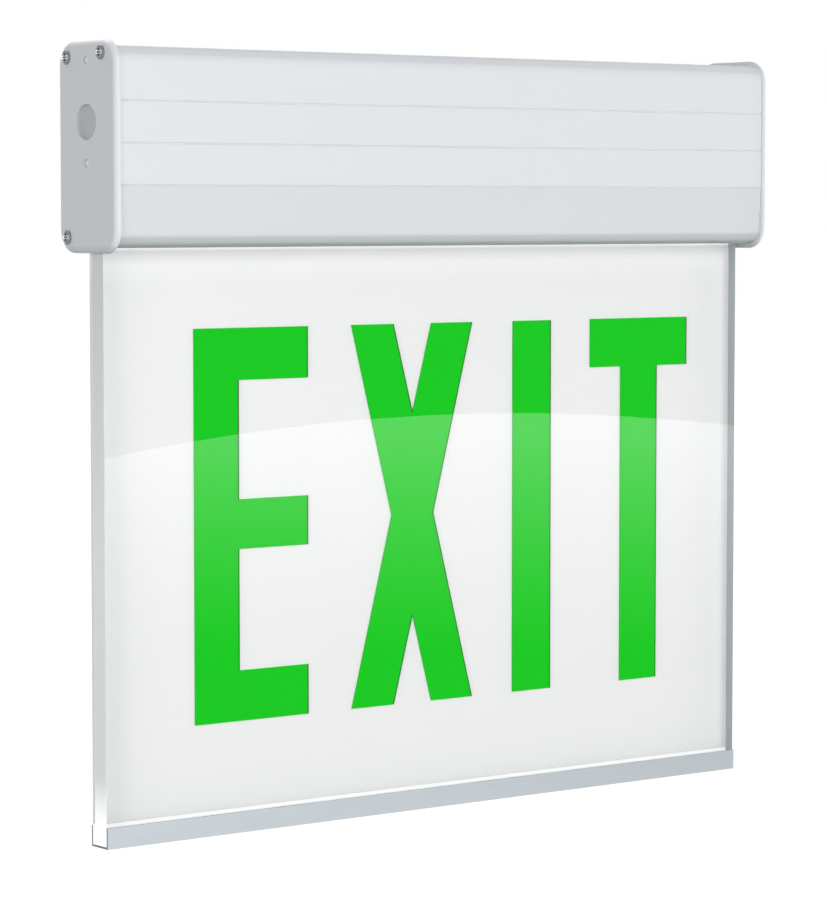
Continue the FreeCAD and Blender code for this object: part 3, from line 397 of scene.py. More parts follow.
def merged_copy(node, name):
    """A closed copy of a CAD node's mesh, with its flat faces whole."""
    mesh = NODES[node].data.copy()
    mesh.name = name
    built = bmesh.new()
    built.from_mesh(mesh)
    bmesh.ops.remove_doubles(built, verts=built.verts, dist=SAME_POINT)
    bmesh.ops.dissolve_limit(built, angle_limit=math.radians(FLAT_TURN), verts=built.verts, edges=built.edges)
    for face in built.faces:
        face.material_index = 0
    built.to_mesh(mesh)
    built.free()
    mesh.materials.clear()
    return mesh


def broken_edges(piece, width):
    """Rounds the sharp edges of a piece a little, and keeps its flat faces flat."""
    piece.data.shade_smooth()
    bevel = piece.modifiers.new("edges", "BEVEL")
    bevel.width = width
    bevel.segments = 2
    bevel.limit_method = "ANGLE"
    bevel.angle_limit = math.radians(SHARP_TURN)
    bevel.use_clamp_overlap = True
    piece.modifiers.new("flat faces", "WEIGHTED_NORMAL")
    return plain_mesh(piece)


def fitted_copy(node, name, material, slot, width):
    """A copy of a node with broken edges, shown in its place."""
    piece = new_piece(name, merged_copy(node, name))
    broken_edges(piece, width)
    piece.data.materials.append(material)
    return settle(piece, slot, node)


def slab(outline_points, low, high):
    """A mesh of a flat outline in X and Z, from one Y to another."""
    built = bmesh.new()
    face = built.faces.new([built.verts.new((x, high, z)) for x, z in outline_points])
    grown = bmesh.ops.extrude_face_region(built, geom=[face])
    bmesh.ops.translate(built, vec=(0.0, low - high, 0.0),
                        verts=[item for item in grown["geom"] if isinstance(item, bmesh.types.BMVert)])
    bmesh.ops.recalc_face_normals(built, faces=built.faces)
    mesh = bpy.data.meshes.new("slab")
    built.to_mesh(mesh)
    built.free()
    return mesh


def slabs_piece(name, outlines, low, high):
    """A piece of flat outlines in X and Z, each from one Y to another."""
    joined = bmesh.new()
    for outline_points in outlines:
        mesh = slab(outline_points, low, high)
        joined.from_mesh(mesh)
        bpy.data.meshes.remove(mesh)
    mesh = bpy.data.meshes.new(name)
    joined.to_mesh(mesh)
    joined.free()
    return new_piece(name, mesh)


# Screws and blanks

def turned(tree, start, end, count, radius, around):
    """A solid of revolution between two points in a geometry tree; the radius may be a field along it."""
    line = wire(tree, "GeometryNodeCurvePrimitiveLine", {"Start": start, "End": end}).outputs[0]
    fine = wire(tree, "GeometryNodeResampleCurve", {"Curve": line, "Count": count}).outputs[0]
    shaped = wire(tree, "GeometryNodeSetCurveRadius", {"Curve": fine, "Radius": 1.0}).outputs[0]
    circle = wire(tree, "GeometryNodeCurvePrimitiveCircle", {"Resolution": around, "Radius": 1.0}).outputs[0]
    return wire(tree, "GeometryNodeCurveToMesh", {"Curve": shaped, "Profile Curve": circle, "Fill Caps": True,
                                                  "Scale": radius}).outputs[0]


def set_inputs(piece, label, tree, chosen):
    """Adds a geometry tree to a piece and sets its inputs by their labels."""
    modifier = piece.modifiers.new(label, "NODES")
    modifier.node_group = tree
    for socket in tree.interface.items_tree:
        if socket.in_out == "INPUT" and socket.name in chosen:
            modifier[socket.identifier] = chosen[socket.name]


def dome_radius(tree, size, reach, power):
    """Radius along a turned line that closes in a dome."""
    along = wire(tree, "GeometryNodeSplineParameter").outputs["Factor"]
    fall = math_node(tree, "POWER", math_node(tree, "MULTIPLY", along, reach), power)
    dome = math_node(tree, "SQRT", math_node(tree, "SUBTRACT", 1.0, fall))
    return math_node(tree, "MULTIPLY", dome, math_node(tree, "MULTIPLY", size, 0.5))


def blank_tree():
    """Domed blanks, one at each point of the mesh that comes in."""
    if "domed blanks" in bpy.data.node_groups:
        return bpy.data.node_groups["domed blanks"]
    tree, given, result = new_group(
        "domed blanks", "GeometryNodeTree",
        [("Geometry", "NodeSocketGeometry", None), ("Size", "NodeSocketFloat", 0.0032),
         ("Thickness", "NodeSocketFloat", 0.0012), ("Facing", "NodeSocketVector", (0.0, 0.0, 1.0)),
         ("Material", "NodeSocketMaterial", None)],
        [("Geometry", "NodeSocketGeometry")])
    take = given.outputs
    radius = dome_radius(tree, take["Size"], *BLANK_DOME)
    top = wire(tree, "ShaderNodeCombineXYZ", {2: take["Thickness"]}).outputs[0]
    blank = turned(tree, (0.0, 0.0, 0.0), top, 12, radius, 32)
    facing = wire(tree, "FunctionNodeAlignRotationToVector", {"Vector": take["Facing"]}, axis="Z").outputs[0]
    points = wire(tree, "GeometryNodeInstanceOnPoints", {"Points": take["Geometry"], "Instance": blank,
                                                         "Rotation": facing}).outputs[0]
    real = wire(tree, "GeometryNodeRealizeInstances", {"Geometry": points}).outputs[0]
    made = wire(tree, "GeometryNodeSetMaterial", {"Geometry": real, "Material": take["Material"]}).outputs[0]
    tree.links.new(made, result.inputs[0])
    return tree


def screw_steel():
    return drawn_metal("blackened steel", (0.215, 0.225, 0.235), 0.34, SCREW_GRAIN)


def plated_steel():
    return drawn_metal("zinc-plated steel", (0.50, 0.51, 0.52), 0.30, SCREW_GRAIN)


def screw_tree():
    """Pan-head screws with a cross recess and a shallow slot that carries a painted highlight, one at each point of
    the mesh that comes in.
    """
    if "pan head screws" in bpy.data.node_groups:
        return bpy.data.node_groups["pan head screws"]
    tree, given, result = new_group(
        "pan head screws", "GeometryNodeTree",
        [("Geometry", "NodeSocketGeometry", None), ("Head Size", "NodeSocketFloat", 0.0054),
         ("Head Height", "NodeSocketFloat", 0.0017), ("Shank Size", "NodeSocketFloat", 0.0024),
         ("Shank Length", "NodeSocketFloat", 0.012), ("Thread Pitch", "NodeSocketFloat", 0.0008),
         ("Recess Width", "NodeSocketFloat", 0.0031), ("Recess Slot", "NodeSocketFloat", 0.0007),
         ("Slot Length", "NodeSocketFloat", 0.0040), ("Slot Width", "NodeSocketFloat", 0.0012),
         ("Slot Depth", "NodeSocketFloat", 0.00025),
         ("Facing", "NodeSocketVector", (0.0, 0.0, 1.0)), ("Turn", "NodeSocketFloat", 0.0),
         ("Material", "NodeSocketMaterial", None), ("Highlight Material", "NodeSocketMaterial", None)],
        [("Geometry", "NodeSocketGeometry")])
    take = given.outputs

    def point(z):
        return wire(tree, "ShaderNodeCombineXYZ", {2: z}).outputs[0]

    head = turned(tree, (0.0, 0.0, 0.0), point(take["Head Height"]), 14,
                  dome_radius(tree, take["Head Size"], *HEAD_DOME), 40)
    deep = math_node(tree, "MULTIPLY", take["Head Height"], 1.2)
    shallow = math_node(tree, "MULTIPLY", take["Slot Depth"], 2.0)
    cut_head = wire(tree, "GeometryNodeMeshBoolean", {"Mesh 1": head}, operation="DIFFERENCE", solver="EXACT")
    for wide, long, depth, painted_highlight in (("Recess Width", "Recess Slot", deep, False),
                                    ("Recess Slot", "Recess Width", deep, False),
                                    ("Slot Width", "Slot Length", shallow, True)):
        size = wire(tree, "ShaderNodeCombineXYZ", {0: take[wide], 1: take[long], 2: depth}).outputs[0]
        bar = wire(tree, "GeometryNodeMeshCube", {"Size": size}).outputs[0]
        if painted_highlight:
            bar = wire(tree, "GeometryNodeSetMaterial",
                       {"Geometry": bar, "Material": take["Highlight Material"]}).outputs[0]
        cutter = wire(tree, "GeometryNodeTransform", {"Geometry": bar, "Translation": point(take["Head Height"])})
        tree.links.new(cutter.outputs[0], cut_head.inputs["Mesh 2"])

    along = wire(tree, "GeometryNodeSplineParameter").outputs["Factor"]
    turns = math_node(tree, "DIVIDE", take["Shank Length"], take["Thread Pitch"])
    ridge = math_node(tree, "PINGPONG", math_node(tree, "MULTIPLY", along, turns), 0.5)
    thread = math_node(tree, "SUBTRACT", 1.0, math_node(tree, "MULTIPLY", ridge, THREAD_DEPTH))
    half_shank = math_node(tree, "MULTIPLY", take["Shank Size"], 0.5)
    rings = math_node(tree, "ADD", math_node(tree, "MULTIPLY", turns, 2.0), 1.0)
    down = math_node(tree, "MULTIPLY", take["Shank Length"], -1.0)
    shank = turned(tree, (0.0, 0.0, 0.0), point(down), rings, math_node(tree, "MULTIPLY", thread, half_shank), 14)

    whole = wire(tree, "GeometryNodeJoinGeometry")
    for part in (cut_head.outputs[0], shank):
        tree.links.new(part, whole.inputs[0])
    facing = wire(tree, "FunctionNodeAlignRotationToVector", {"Vector": take["Facing"]}, axis="Z").outputs[0]
    points = wire(tree, "GeometryNodeInstanceOnPoints", {"Points": take["Geometry"], "Instance": whole.outputs[0],
                                                         "Rotation": facing}).outputs[0]
    spin = wire(tree, "ShaderNodeCombineXYZ", {2: take["Turn"]}).outputs[0]
    spun = wire(tree, "GeometryNodeRotateInstances", {"Instances": points, "Rotation": spin}).outputs[0]
    real = wire(tree, "GeometryNodeRealizeInstances", {"Geometry": spun}).outputs[0]
    painted_highlight = wire(tree, "GeometryNodeMaterialSelection", {"Material": take["Highlight Material"]}).outputs[0]
    rest = wire(tree, "FunctionNodeBooleanMath", {0: painted_highlight}, operation="NOT").outputs[0]
    made = wire(tree, "GeometryNodeSetMaterial", {"Geometry": real, "Selection": rest,
                                                  "Material": take["Material"]}).outputs[0]
    tree.links.new(made, result.inputs[0])
    return tree


def set_screws(name, node, seats, facing, screw, turn=0.0):
    """Puts screws on the seats, all facing one way, and shows them for the node."""
    mesh = bpy.data.meshes.new(name)
    mesh.from_pydata(seats, [], [])
    piece = new_piece(name, mesh)
    head_size, head_height, shank_size, shank_length = screw
    chosen = {"Head Size": head_size, "Head Height": head_height,
              "Shank Size": shank_size, "Shank Length": shank_length,
              "Recess Width": sizes().recess_width, "Recess Slot": sizes().recess_slot,
              "Facing": facing, "Turn": turn, "Material": screw_steel(),
              # Painted highlight: the slot's white finish with a glow
              "Highlight Material": moulding("slot painted highlight", (0.96, 0.96, 0.97), 0.30, Emission_Color=WHITE,
                                        Emission_Strength=SLOT_PAINTED_HIGHLIGHT)}
    set_inputs(piece, "screws", screw_tree(), chosen)
    plain_mesh(piece)
    smooth_by_angle(piece.data, 32.0)
    return settle(piece, "screw_steel", node)


def separate_boxes(node):
    """The box of each separate solid in a node."""
    built = bmesh.new()
    built.from_mesh(NODES[node].data)
    bmesh.ops.remove_doubles(built, verts=built.verts, dist=SAME_POINT)
    left = set(built.verts)
    boxes = []
    while left:
        group = {left.pop()}
        waiting = list(group)
        while waiting:
            vert = waiting.pop()
            for edge in vert.link_edges:
                other = edge.other_vert(vert)
                if other in left:
                    left.discard(other)
                    group.add(other)
                    waiting.append(other)
        low = Vector(min(v.co[i] for v in group) for i in range(3))
        high = Vector(max(v.co[i] for v in group) for i in range(3))
        boxes.append((low, high))
    built.free()
    return sorted(boxes, key=lambda pair: tuple(round(value, 5) for value in pair[0]))


# Pieces

class EXITLIGHT_OT_housing(bpy.types.Operator):
    """Paints the extruded housing, with painted shade in steps along its height"""
    bl_idname = "exit_light.housing"
    bl_label = "Housing"

    def execute(self, context):
        paint = powder_coat("housing powder coat with painted shade", colours().housing_paint)
        # Painted shade: darker below the face's leaning foot and along the lower and upper edges
        paint_shade_by_height(paint, bands(FACE_FOOT, -1, FACE_PAINTED_SHADE) + bands(HOUSING_LOW.z, 1, HOUSING_FOOT_PAINTED_SHADE)
                         + bands(HOUSING_HIGH.z, -1, HOUSING_HEAD_PAINTED_SHADE))
        cover("housing_extrusion", paint)
        return {"FINISHED"}


class EXITLIGHT_OT_end_caps(bpy.types.Operator):
    """Paints the cast end caps, with painted shade along their lower edge, and colours the plugs behind their stem
    holes
    """
    bl_idname = "exit_light.end_caps"
    bl_label = "End caps"

    def execute(self, context):
        given = sizes()
        paint = powder_coat("cap powder coat with painted shade", colours().cap_paint)
        # Painted shade: darker along the caps' lower edge
        paint_shade_by_height(paint, bands(LEFT_CAP_LOW.z, 1, CAP_FOOT_PAINTED_SHADE))
        for side in ("left", "right"):
            cover(f"{side}_end_cap", paint)
            cover(f"{side}_stem_plug", moulding("plug moulding", colours().plug_grey))
            outward = -1.0 if side == "left" else 1.0
            face = LEFT_CAP_LOW.x if side == "left" else RIGHT_CAP_HIGH.x
            low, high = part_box(f"{side}_stem_plug")
            middle = (low + high) / 2
            mesh = bpy.data.meshes.new(f"{side}_hole_blanks")
            mesh.from_pydata([(face - outward * given.blank_depth, middle.y, middle.z + rise)
                              for rise in (given.blank_above, -given.blank_below)], [], [])
            piece = new_piece(f"{side}_hole_blanks", mesh)
            set_inputs(piece, "blanks", blank_tree(),
                       {"Size": given.blank_size, "Facing": (outward, 0.0, 0.0),
                        "Material": moulding("blank moulding", (0.93, 0.94, 0.95), 0.40)})
            plain_mesh(piece)
            smooth_by_angle(piece.data, 40.0)
            settle(piece, "plug_plastic")
        return {"FINISHED"}


class EXITLIGHT_OT_cap_screws(bpy.types.Operator):
    """Sets three cross-recessed screws in each end cap"""
    bl_idname = "exit_light.cap_screws"
    bl_label = "Cap screws"

    def execute(self, context):
        for side, facing in (("left", (-1.0, 0.0, 0.0)), ("right", (1.0, 0.0, 0.0))):
            seats = []
            for low, high in separate_boxes(f"{side}_cap_screws"):
                seat = LEFT_CAP_LOW.x if side == "left" else RIGHT_CAP_HIGH.x
                seats.append((seat, (low.y + high.y) / 2, (low.z + high.z) / 2))
            set_screws(f"{side}_cap_screw_set", f"{side}_cap_screws", seats, facing, CAP_SCREW)
        return {"FINISHED"}


class EXITLIGHT_OT_sign_panel(bpy.types.Operator):
    """Cuts the clear sheet, polished on its faces and sawn on its edges"""
    bl_idname = "exit_light.sign_panel"
    bl_label = "Sign panel"

    def execute(self, context):
        mesh = merged_copy("light_panel", "clear_sign_sheet")
        for vert in mesh.vertices:
            if vert.co.y > PANEL_HIGH.y - ON_FACE:
                vert.co.y -= SHEET_PLAY
            if vert.co.z < PANEL_LOW.z + ON_FACE:
                vert.co.z += SHEET_PLAY
        piece = new_piece("clear_sign_sheet", mesh)
        broken_edges(piece, sizes().sheet_edge)
        piece.data.materials.append(clear_sheet())
        piece.data.materials.append(sawn_edge())
        for face in piece.data.polygons:
            middle = face.center
            if abs(face.normal.x) > 0.9 and abs(middle.x) > PANEL_HIGH.x - 1e-4:
                face.material_index = 1
        settle(piece, "clear_acrylic", "light_panel")
        return {"FINISHED"}


class EXITLIGHT_OT_backing(bpy.types.Operator):
    """Hangs the white sheet behind the panel, with painted light at its head and foot"""
    bl_idname = "exit_light.backing"
    bl_label = "Backing"

    def execute(self, context):
        white = finish("white sheet", colours().backing_sheet, 0.30, (500.0, 500.0, 500.0), 0.000004, tone=0.008)
        tree = white.node_tree
        height = object_height(tree)
        # Painted light: glow bands at the sheet's head and foot; the wide one under the housing lifts the housing's
        # shadow
        lit = 0.0
        for start, whole, share in (bands(HOUSING_LOW.z, -1, SHEET_HEAD_PAINTED_LIGHT)
                                    + bands(TRIM_HIGH.z, 1, SHEET_FOOT_PAINTED_LIGHT)):
            band = wire(tree, "ShaderNodeMapRange", {0: height, 1: start, 2: whole, 3: 0.0, 4: share}).outputs[0]
            lit = math_node(tree, "MAXIMUM", lit, band)
        tree.links.new(lit, tree.nodes["Principled BSDF"].inputs["Emission Color"])
        tree.nodes["Principled BSDF"].inputs["Emission Strength"].default_value = SHEET_PAINTED_GLOW
        fitted_copy("backing_sheet", "white_backing", white, "white_acrylic", BACKING_EDGE)
        return {"FINISHED"}


class EXITLIGHT_OT_legend(bpy.types.Operator):
    """Lets the legend's four letters into the back of the clear sheet, with painted shade strips along their
    right-hand edges
    """
    bl_idname = "exit_light.legend"
    bl_label = "Legend"

    def execute(self, context):
        given = sizes()
        tall, wide, cross, bar, gap = (given.legend_height, given.wide_letter, given.crossed_letter, given.stroke,
                                       given.letter_gap)
        top = HOUSING_LOW.z - given.legend_drop
        foot = top - tall
        left = given.legend_shift - (2 * wide + cross + bar + 3 * gap) / 2
        middle = top - ARM_MIDDLE * tall
        half_arm = ARM_HALF * tall
        stem = left + bar * FIRST_STEM
        arm_top = foot + bar * FIRST_FOOT
        letters = [[(left, foot), (left, top), (left + wide, top), (left + wide, top - bar), (stem, top - bar),
                    (stem, middle + half_arm), (left + wide, middle + half_arm),
                    (left + wide, middle - half_arm), (stem, middle - half_arm), (stem, arm_top),
                    (left + wide, arm_top), (left + wide, foot)]]
        left += wide + gap
        right = left + cross
        centre = (left + right) / 2
        waist = cross * WAIST_HALF
        notch = tall * NOTCH_DEPTH
        inner = cross * NOTCH_HALF
        letters.append([(left, foot), (centre - waist, foot + tall / 2), (left, top), (centre - inner, top),
                        (centre, top - notch), (centre + inner, top), (right, top), (centre + waist, foot + tall / 2),
                        (right, foot), (centre + inner, foot), (centre, foot + notch), (centre - inner, foot)])
        left = right + gap
        letters.append([(left, foot), (left, top), (left + bar, top), (left + bar, foot)])
        left += bar + gap
        stem = left + (wide - bar) / 2
        letters.append([(left, top), (left + wide, top), (left + wide, top - bar), (stem + bar, top - bar),
                        (stem + bar, foot), (stem, foot), (stem, top - bar), (left, top - bar)])
        ink = finish("legend ink", colours().legend_ink, 0.50, INK_GRAIN, 0.000006, tone=0.02,
                     Specular_IOR_Level=0.0)
        back = PANEL_HIGH.y - LEGEND_PLAY
        front = back - given.legend_depth
        piece = slabs_piece("legend_letters", letters, front, back)
        broken_edges(piece, LEGEND_EDGE)
        piece.data.materials.append(ink)
        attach(piece, "light")

        # Painted shade: thin dark strips just before the letters' face along their right-hand edges, standing in for
        # the recess walls seen in shade
        painted_shades = [[(x - given.legend_painted_shade, z), (x, z), (next_x, next_z), (next_x - given.legend_painted_shade, next_z)]
                 for points in letters for (x, z), (next_x, next_z) in zip(points, points[1:] + points[:1])
                 if next_z < z - bar / 4]
        dark = finish("legend painted shade", (0.004, 0.060, 0.006), 0.50, INK_GRAIN, 0.000006, tone=0.02,
                      Specular_IOR_Level=0.0)
        piece = slabs_piece("legend_painted_shades", painted_shades, front - PAINTED_SHADE_FRONT, front - PAINTED_SHADE_BACK)
        piece.data.materials.append(dark)
        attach(piece, "light")
        return {"FINISHED"}


class EXITLIGHT_OT_edge_trim(bpy.types.Operator):
    """Slides the anodised channel on to the panel's foot"""
    bl_idname = "exit_light.edge_trim"
    bl_label = "Edge trim"

    def execute(self, context):
        piece = fitted_copy("edge_trim", "foot_channel", drawn_metal("anodised channel", colours().trim_metal, 0.42),
                            "trim_aluminium", sizes().trim_edge)
        piece.data.materials.append(drawn_metal("sawn channel end", (0.205, 0.225, 0.228), 0.55))
        for face in piece.data.polygons:
            if abs(face.normal.x) > 0.7:
                face.material_index = 1
        return {"FINISHED"}


class EXITLIGHT_OT_lamp_carrier(bpy.types.Operator):
    """Finishes the lamp carrier, its lamps and the screws through the panel"""
    bl_idname = "exit_light.lamp_carrier"
    bl_label = "Lamp carrier"

    def execute(self, context):
        cover("led_carrier", drawn_metal("mill aluminium", (0.62, 0.63, 0.64), 0.38))
        cover("led_board", moulding("white solder mask", (0.78, 0.79, 0.78), 0.35))
        cover("leds", moulding("lamp phosphor", (0.86, 0.66, 0.16), 0.30))
        cover("panel_nuts", plated_steel())
        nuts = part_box("panel_nuts")
        seats = [((low.x + high.x) / 2, nuts[0].y - PANEL_SCREW_SEAT, (low.z + high.z) / 2)
                 for low, high in separate_boxes("panel_screws")]
        set_screws("panel_screw_set", "panel_screws", seats, (0.0, -1.0, 0.0), PANEL_SCREW,
                   PANEL_SCREW_TURN)
        return {"FINISHED"}


class EXITLIGHT_OT_gear_tray(bpy.types.Operator):
    """Finishes the tray, the charger board and what stands on it"""
    bl_idname = "exit_light.gear_tray"
    bl_label = "Gear tray"

    def execute(self, context):
        cover("gear_tray", powder_coat("tray paint", (0.72, 0.72, 0.71)))
        cover("charger_board", moulding("green solder mask", (0.010, 0.130, 0.045), 0.30))
        cover("board_standoffs", drawn_metal("brass", (0.66, 0.47, 0.17), 0.30, SCREW_GRAIN))
        cover("transformer_core", finish("core laminations", (0.075, 0.075, 0.080), 0.50, (60.0, 2400.0, 60.0),
                                         0.00003, tone=0.25, Metallic=0.6))
        cover("transformer_coil", finish("winding tape", (0.72, 0.46, 0.03), 0.28, (60.0, 60.0, 1500.0), 0.00002))
        cover("capacitors", moulding("capacitor sleeve", (0.012, 0.014, 0.035), 0.32))
        cover("relay", moulding("relay case", (0.012, 0.060, 0.260), 0.35))
        cover("terminal_block", moulding("terminal plastic", (0.015, 0.190, 0.060), 0.45))
        for socket in ("battery_socket", "lamp_socket"):
            cover(socket, moulding("socket nylon", (0.74, 0.70, 0.60), 0.50))
        board_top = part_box("charger_board")[1].z
        seats = [((low.x + high.x) / 2, (low.y + high.y) / 2, board_top)
                 for low, high in separate_boxes("board_screws")]
        set_screws("board_screw_set", "board_screws", seats, (0.0, 0.0, 1.0), BOARD_SCREW,
                   BOARD_SCREW_TURN)
        return {"FINISHED"}


class EXITLIGHT_OT_battery(bpy.types.Operator):
    """Finishes the battery, its cradle and its ties"""
    bl_idname = "exit_light.battery"
    bl_label = "Battery"

    def execute(self, context):
        cover("battery_pack", finish("battery sleeve", (0.010, 0.150, 0.075), 0.26, (35.0, 700.0, 700.0), 0.00003))
        cover("battery_cradle", moulding("cradle moulding", (0.035, 0.035, 0.038), 0.50))
        cover("battery_ties", finish("nylon tie", (0.76, 0.76, 0.72), 0.45, (1500.0, 300.0, 300.0), 0.00004))
        return {"FINISHED"}


class EXITLIGHT_OT_test_switch(bpy.types.Operator):
    """Finishes the test switch, its nut and button, and the charge lamp"""
    bl_idname = "exit_light.test_switch"
    bl_label = "Test switch"

    def execute(self, context):
        cover("test_switch", moulding("switch body", (0.020, 0.020, 0.022), 0.42))
        fitted_copy("switch_nut", "hexagon_nut", plated_steel(), "screw_steel", NUT_EDGE)
        cover("test_button", moulding("button moulding", colours().button_red, 0.28, Coat_Weight=0.3))
        cover("charge_lamp", moulding("lamp lens", colours().lamp_red, 0.10, Coat_Weight=0.5))
        return {"FINISHED"}


class EXITLIGHT_OT_leads(bpy.types.Operator):
    """Colours the leads inside the housing"""
    bl_idname = "exit_light.leads"
    bl_label = "Leads"

    def execute(self, context):
        cover("battery_lead", moulding("red insulation", (0.36, 0.012, 0.010), 0.42))
        cover("lamp_lead", moulding("white insulation", (0.72, 0.72, 0.70), 0.42))
        cover("switch_lead", moulding("black insulation", (0.018, 0.018, 0.018), 0.42))
        return {"FINISHED"}


# Stage

FLOOR_HEIGHT = -0.62
FLOOR_HALF = 9
FLOOR_GREY = (0.42, 0.42, 0.42, 1.0)
FLOOR_GLOW = 1.12
FLOOR_GLOW_SHARE = 0.84     # near the object, where the floor keeps a shadow; all of it further out
FLOOR_NEAR = 0.8
FLOOR_FAR = 1.8
SKY_LIGHT = 0.24
LAMP_AIM = (0.0, 0.0, -0.08)
LAMPS = (   # name, place, size and power
    ("key", (0.34, -2.45, 0.22), (1.8, 1.4), 35.2),
    ("left fill", (-2.10, -1.05, 0.1), (1.2, 1.2), 17.2),
    ("right fill", (2.2, -0.5, 0.2), (1.2, 1.2), 13.0),
    ("overhead", (0.0, 1.50, 2.10), (1.6, 1.2), 30.0),
    ("back", (0.5, 2.50, 0.05), (1.6, 1.2), 15.0),
)
STUDIO_GLOW = 0.18      # what gloss sees of the unlit studio
DARK_CARD_HALF = 0.9
DARK_CARD_FAR = 3.4
SOFT_BOX_FAR = 2.6
SOFT_BOX_LEFT = -0.110
SOFT_BOX_WIDTH = 0.225
SOFT_BOX_FOOT = -0.056
ARCH_STEPS = 24
ARCH_TOP = 0.0105       # top of the arch, where it stands, and how fast it falls to both sides
ARCH_MIDDLE = 0.030
ARCH_FALL = 0.95
FADE_LOW = -0.355       # heights between which the soft box grows bright
FADE_HIGH = -0.19
FADE_CURVE = 1.5
SOFT_BOX_GLOW = 2.1
CAMERA_LENS = 140.99
SENSOR_HEIGHT = 36.0
CAMERA_PLACE = Vector((-0.86765, -1.13668, -0.02278))
CAMERA_AHEAD = Vector((0.60750, 0.79137, -0.06831))


def stage_object(name, mesh, material):
    item = bpy.data.objects.new(name, mesh)
    bpy.context.scene.collection.objects.link(item)
    item.data.materials.append(material)
    return item


def white_floor():
    """Floor that reads as white where it is seen, keeps a faint shadow, and has no visible horizon."""
    material, tree, shader = new_material("stage floor")
    shader.inputs["Base Color"].default_value = FLOOR_GREY
    shader.inputs["Roughness"].default_value = 0.9
    white = wire(tree, "ShaderNodeEmission", {"Color": WHITE, "Strength": FLOOR_GLOW})
    place = wire(tree, "ShaderNodeNewGeometry").outputs["Position"]
    reach = wire(tree, "ShaderNodeVectorMath", {0: place}, operation="LENGTH").outputs["Value"]
    share = wire(tree, "ShaderNodeMapRange",
                 {0: reach, 1: FLOOR_NEAR, 2: FLOOR_FAR, 3: FLOOR_GLOW_SHARE, 4: 1.0}).outputs[0]
    both = wire(tree, "ShaderNodeMixShader", {0: share, 1: shader.outputs[0], 2: white.outputs[0]})
    seen = seen_rays(tree)
    mixed = wire(tree, "ShaderNodeMixShader", {0: seen, 1: shader.outputs[0], 2: both.outputs[0]})
    tree.links.new(mixed.outputs[0], tree.nodes["Material Output"].inputs["Surface"])
    return material


def seen_rays(tree):
    """One for what the camera sees, straight on, in gloss or through glass, and nought for light on a surface."""
    rays = wire(tree, "ShaderNodeLightPath").outputs
    some = math_node(tree, "MAXIMUM", rays["Is Camera Ray"], rays["Is Glossy Ray"])
    every = math_node(tree, "MAXIMUM", some, rays["Is Transmission Ray"])
    return math_node(tree, "MULTIPLY", every, math_node(tree, "LESS_THAN", rays["Diffuse Depth"], 0.5))


def lamp(name, place, size, power):
    """A rectangular lamp that glass doesn't see; gloss doesn't see the fills either."""
    light = bpy.data.lights.new(name, "AREA")
    light.shape = "RECTANGLE"
    light.size, light.size_y = size
    light.energy = power
    item = bpy.data.objects.new(name, light)
    item.location = place
    item.rotation_euler = (Vector(LAMP_AIM) - Vector(place)).to_track_quat("-Z", "Y").to_euler()
    item.visible_transmission = False
    item.visible_glossy = not name.endswith("fill")
    bpy.context.scene.collection.objects.link(item)


def reflected_card(name, points, material):
    """A card that only gloss sees, standing where the panel mirrors it towards the camera."""
    mirror = Vector((1.0, -1.0, 1.0))
    place = Vector((CAMERA_PLACE.x, 2 * PANEL_LOW.y - CAMERA_PLACE.y, CAMERA_PLACE.z))
    ahead = CAMERA_AHEAD * mirror
    side = Vector((CAMERA_AHEAD.y, -CAMERA_AHEAD.x, 0.0)).normalized() * mirror
    rise = Vector(CAMERA_AHEAD).cross(Vector((0.0, 0.0, 1.0))).normalized().cross(CAMERA_AHEAD) * mirror
    mesh = bpy.data.meshes.new(name)
    mesh.from_pydata([place + ahead * far + side * (x * far) + rise * (y * far) for x, y, far in points], [],
                     [list(range(len(points)))])
    item = stage_object(name, mesh, material)
    item.visible_camera = False
    item.visible_diffuse = False
    item.visible_transmission = False
    item.visible_shadow = False


def glow(name, strength):
    """An even glow; strength may be a rule made in the tree."""
    material, tree, shader = new_material(name)
    tree.nodes.remove(shader)
    emission = wire(tree, "ShaderNodeEmission", {"Strength": strength(tree) if callable(strength) else strength})
    tree.links.new(emission.outputs[0], tree.nodes["Material Output"].inputs["Surface"])
    return material


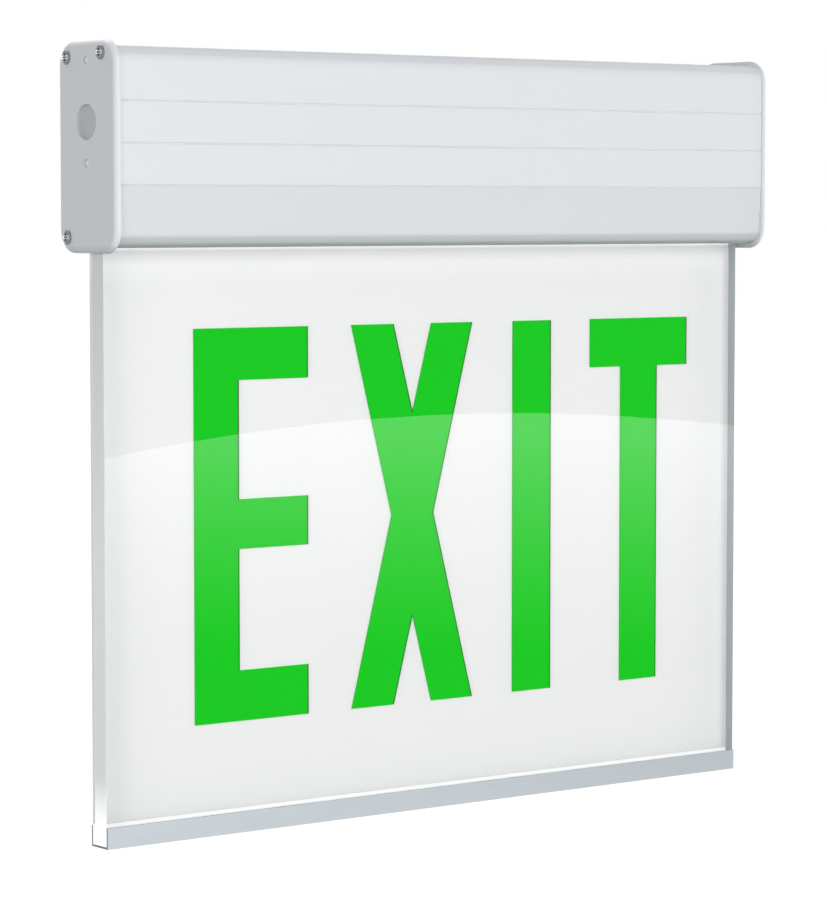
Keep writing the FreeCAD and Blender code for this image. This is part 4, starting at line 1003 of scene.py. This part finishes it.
class EXITLIGHT_OT_stage(bpy.types.Operator):
    """Sets the floor, the lamps, the cards that the panel mirrors, and the camera"""
    bl_idname = "exit_light.stage"
    bl_label = "Stage"

    def execute(self, context):
        scene = context.scene
        scene.view_settings.view_transform = "Standard"
        floor = bpy.data.meshes.new("floor")
        floor.from_pydata([(x * FLOOR_HALF, y * FLOOR_HALF, FLOOR_HEIGHT)
                           for x, y in ((-1, -1), (1, -1), (1, 1), (-1, 1))], [], [(0, 1, 2, 3)])
        stage_object("floor", floor, white_floor())

        world = bpy.data.worlds.new("studio")
        scene.world = world
        world.use_nodes = True
        tree = world.node_tree
        ground = tree.nodes["Background"]
        level = wire(tree, "ShaderNodeMapRange", {0: seen_rays(tree), 3: SKY_LIGHT, 4: 1.0})
        tree.links.new(level.outputs[0], ground.inputs["Strength"])
        ground.inputs["Color"].default_value = WHITE

        for settings in LAMPS:
            lamp(*settings)

        dark = [(x * DARK_CARD_HALF, y * DARK_CARD_HALF, DARK_CARD_FAR)
                for x, y in ((-1, -1), (1, -1), (1, 1), (-1, 1))]
        reflected_card("dark_card", dark, glow("unlit studio", STUDIO_GLOW))
        right = SOFT_BOX_LEFT + SOFT_BOX_WIDTH
        bright = [(right, SOFT_BOX_FOOT, SOFT_BOX_FAR), (SOFT_BOX_LEFT, SOFT_BOX_FOOT, SOFT_BOX_FAR)]
        for step in range(ARCH_STEPS + 1):
            x = SOFT_BOX_LEFT + SOFT_BOX_WIDTH * step / ARCH_STEPS
            bright.append((x, ARCH_TOP - ARCH_FALL * (x - ARCH_MIDDLE) ** 2, SOFT_BOX_FAR))

        def fading(tree):
            share = wire(tree, "ShaderNodeMapRange",
                         {0: object_height(tree), 1: FADE_LOW, 2: FADE_HIGH, 3: 0.0, 4: 1.0}).outputs[0]
            curve = math_node(tree, "POWER", share, FADE_CURVE)
            return math_node(tree, "ADD", math_node(tree, "MULTIPLY", curve, SOFT_BOX_GLOW), STUDIO_GLOW)
        reflected_card("soft_box", bright, glow("soft box front", fading))

        camera = bpy.data.cameras.new("camera")
        camera.sensor_fit = "VERTICAL"
        camera.sensor_height = SENSOR_HEIGHT
        camera.lens = CAMERA_LENS
        view = bpy.data.objects.new("camera", camera)
        view.location = CAMERA_PLACE
        view.rotation_euler = CAMERA_AHEAD.to_track_quat("-Z", "Y").to_euler()
        scene.collection.objects.link(view)
        scene.camera = view
        return {"FINISHED"}


OPERATORS = (
    EXITLIGHT_OT_housing, EXITLIGHT_OT_end_caps, EXITLIGHT_OT_cap_screws, EXITLIGHT_OT_sign_panel,
    EXITLIGHT_OT_backing, EXITLIGHT_OT_legend, EXITLIGHT_OT_edge_trim, EXITLIGHT_OT_lamp_carrier,
    EXITLIGHT_OT_gear_tray, EXITLIGHT_OT_battery, EXITLIGHT_OT_test_switch, EXITLIGHT_OT_leads,
    EXITLIGHT_OT_stage,
)


class EXITLIGHT_PT_panel(bpy.types.Panel):
    """Lists the sizes, the colours and the pieces"""
    bl_idname = "EXITLIGHT_PT_panel"
    bl_label = "Exit light"
    bl_space_type = "VIEW_3D"
    bl_region_type = "UI"
    bl_category = "Exit light"

    def draw(self, context):
        for group in (context.scene.exit_light_sizes, context.scene.exit_light_colours):
            box = self.layout.box()
            for name in group.bl_rna.properties.keys():
                if name not in ("rna_type", "name"):
                    box.prop(group, name)
        for operator in OPERATORS:
            self.layout.operator(operator.bl_idname)


CLASSES = (ExitLightColours, ExitLightSizes, *OPERATORS, EXITLIGHT_PT_panel)


def register():
    for item in CLASSES:
        bpy.utils.register_class(item)
    bpy.types.Scene.exit_light_colours = bpy.props.PointerProperty(type=ExitLightColours)
    bpy.types.Scene.exit_light_sizes = bpy.props.PointerProperty(type=ExitLightSizes)


def unregister():
    del bpy.types.Scene.exit_light_sizes
    del bpy.types.Scene.exit_light_colours
    for item in reversed(CLASSES):
        bpy.utils.unregister_class(item)


def main():
    register()
    for operator in OPERATORS:
        getattr(bpy.ops.exit_light, operator.bl_idname.split(".")[1])()


if __name__ == "__main__":
    main()
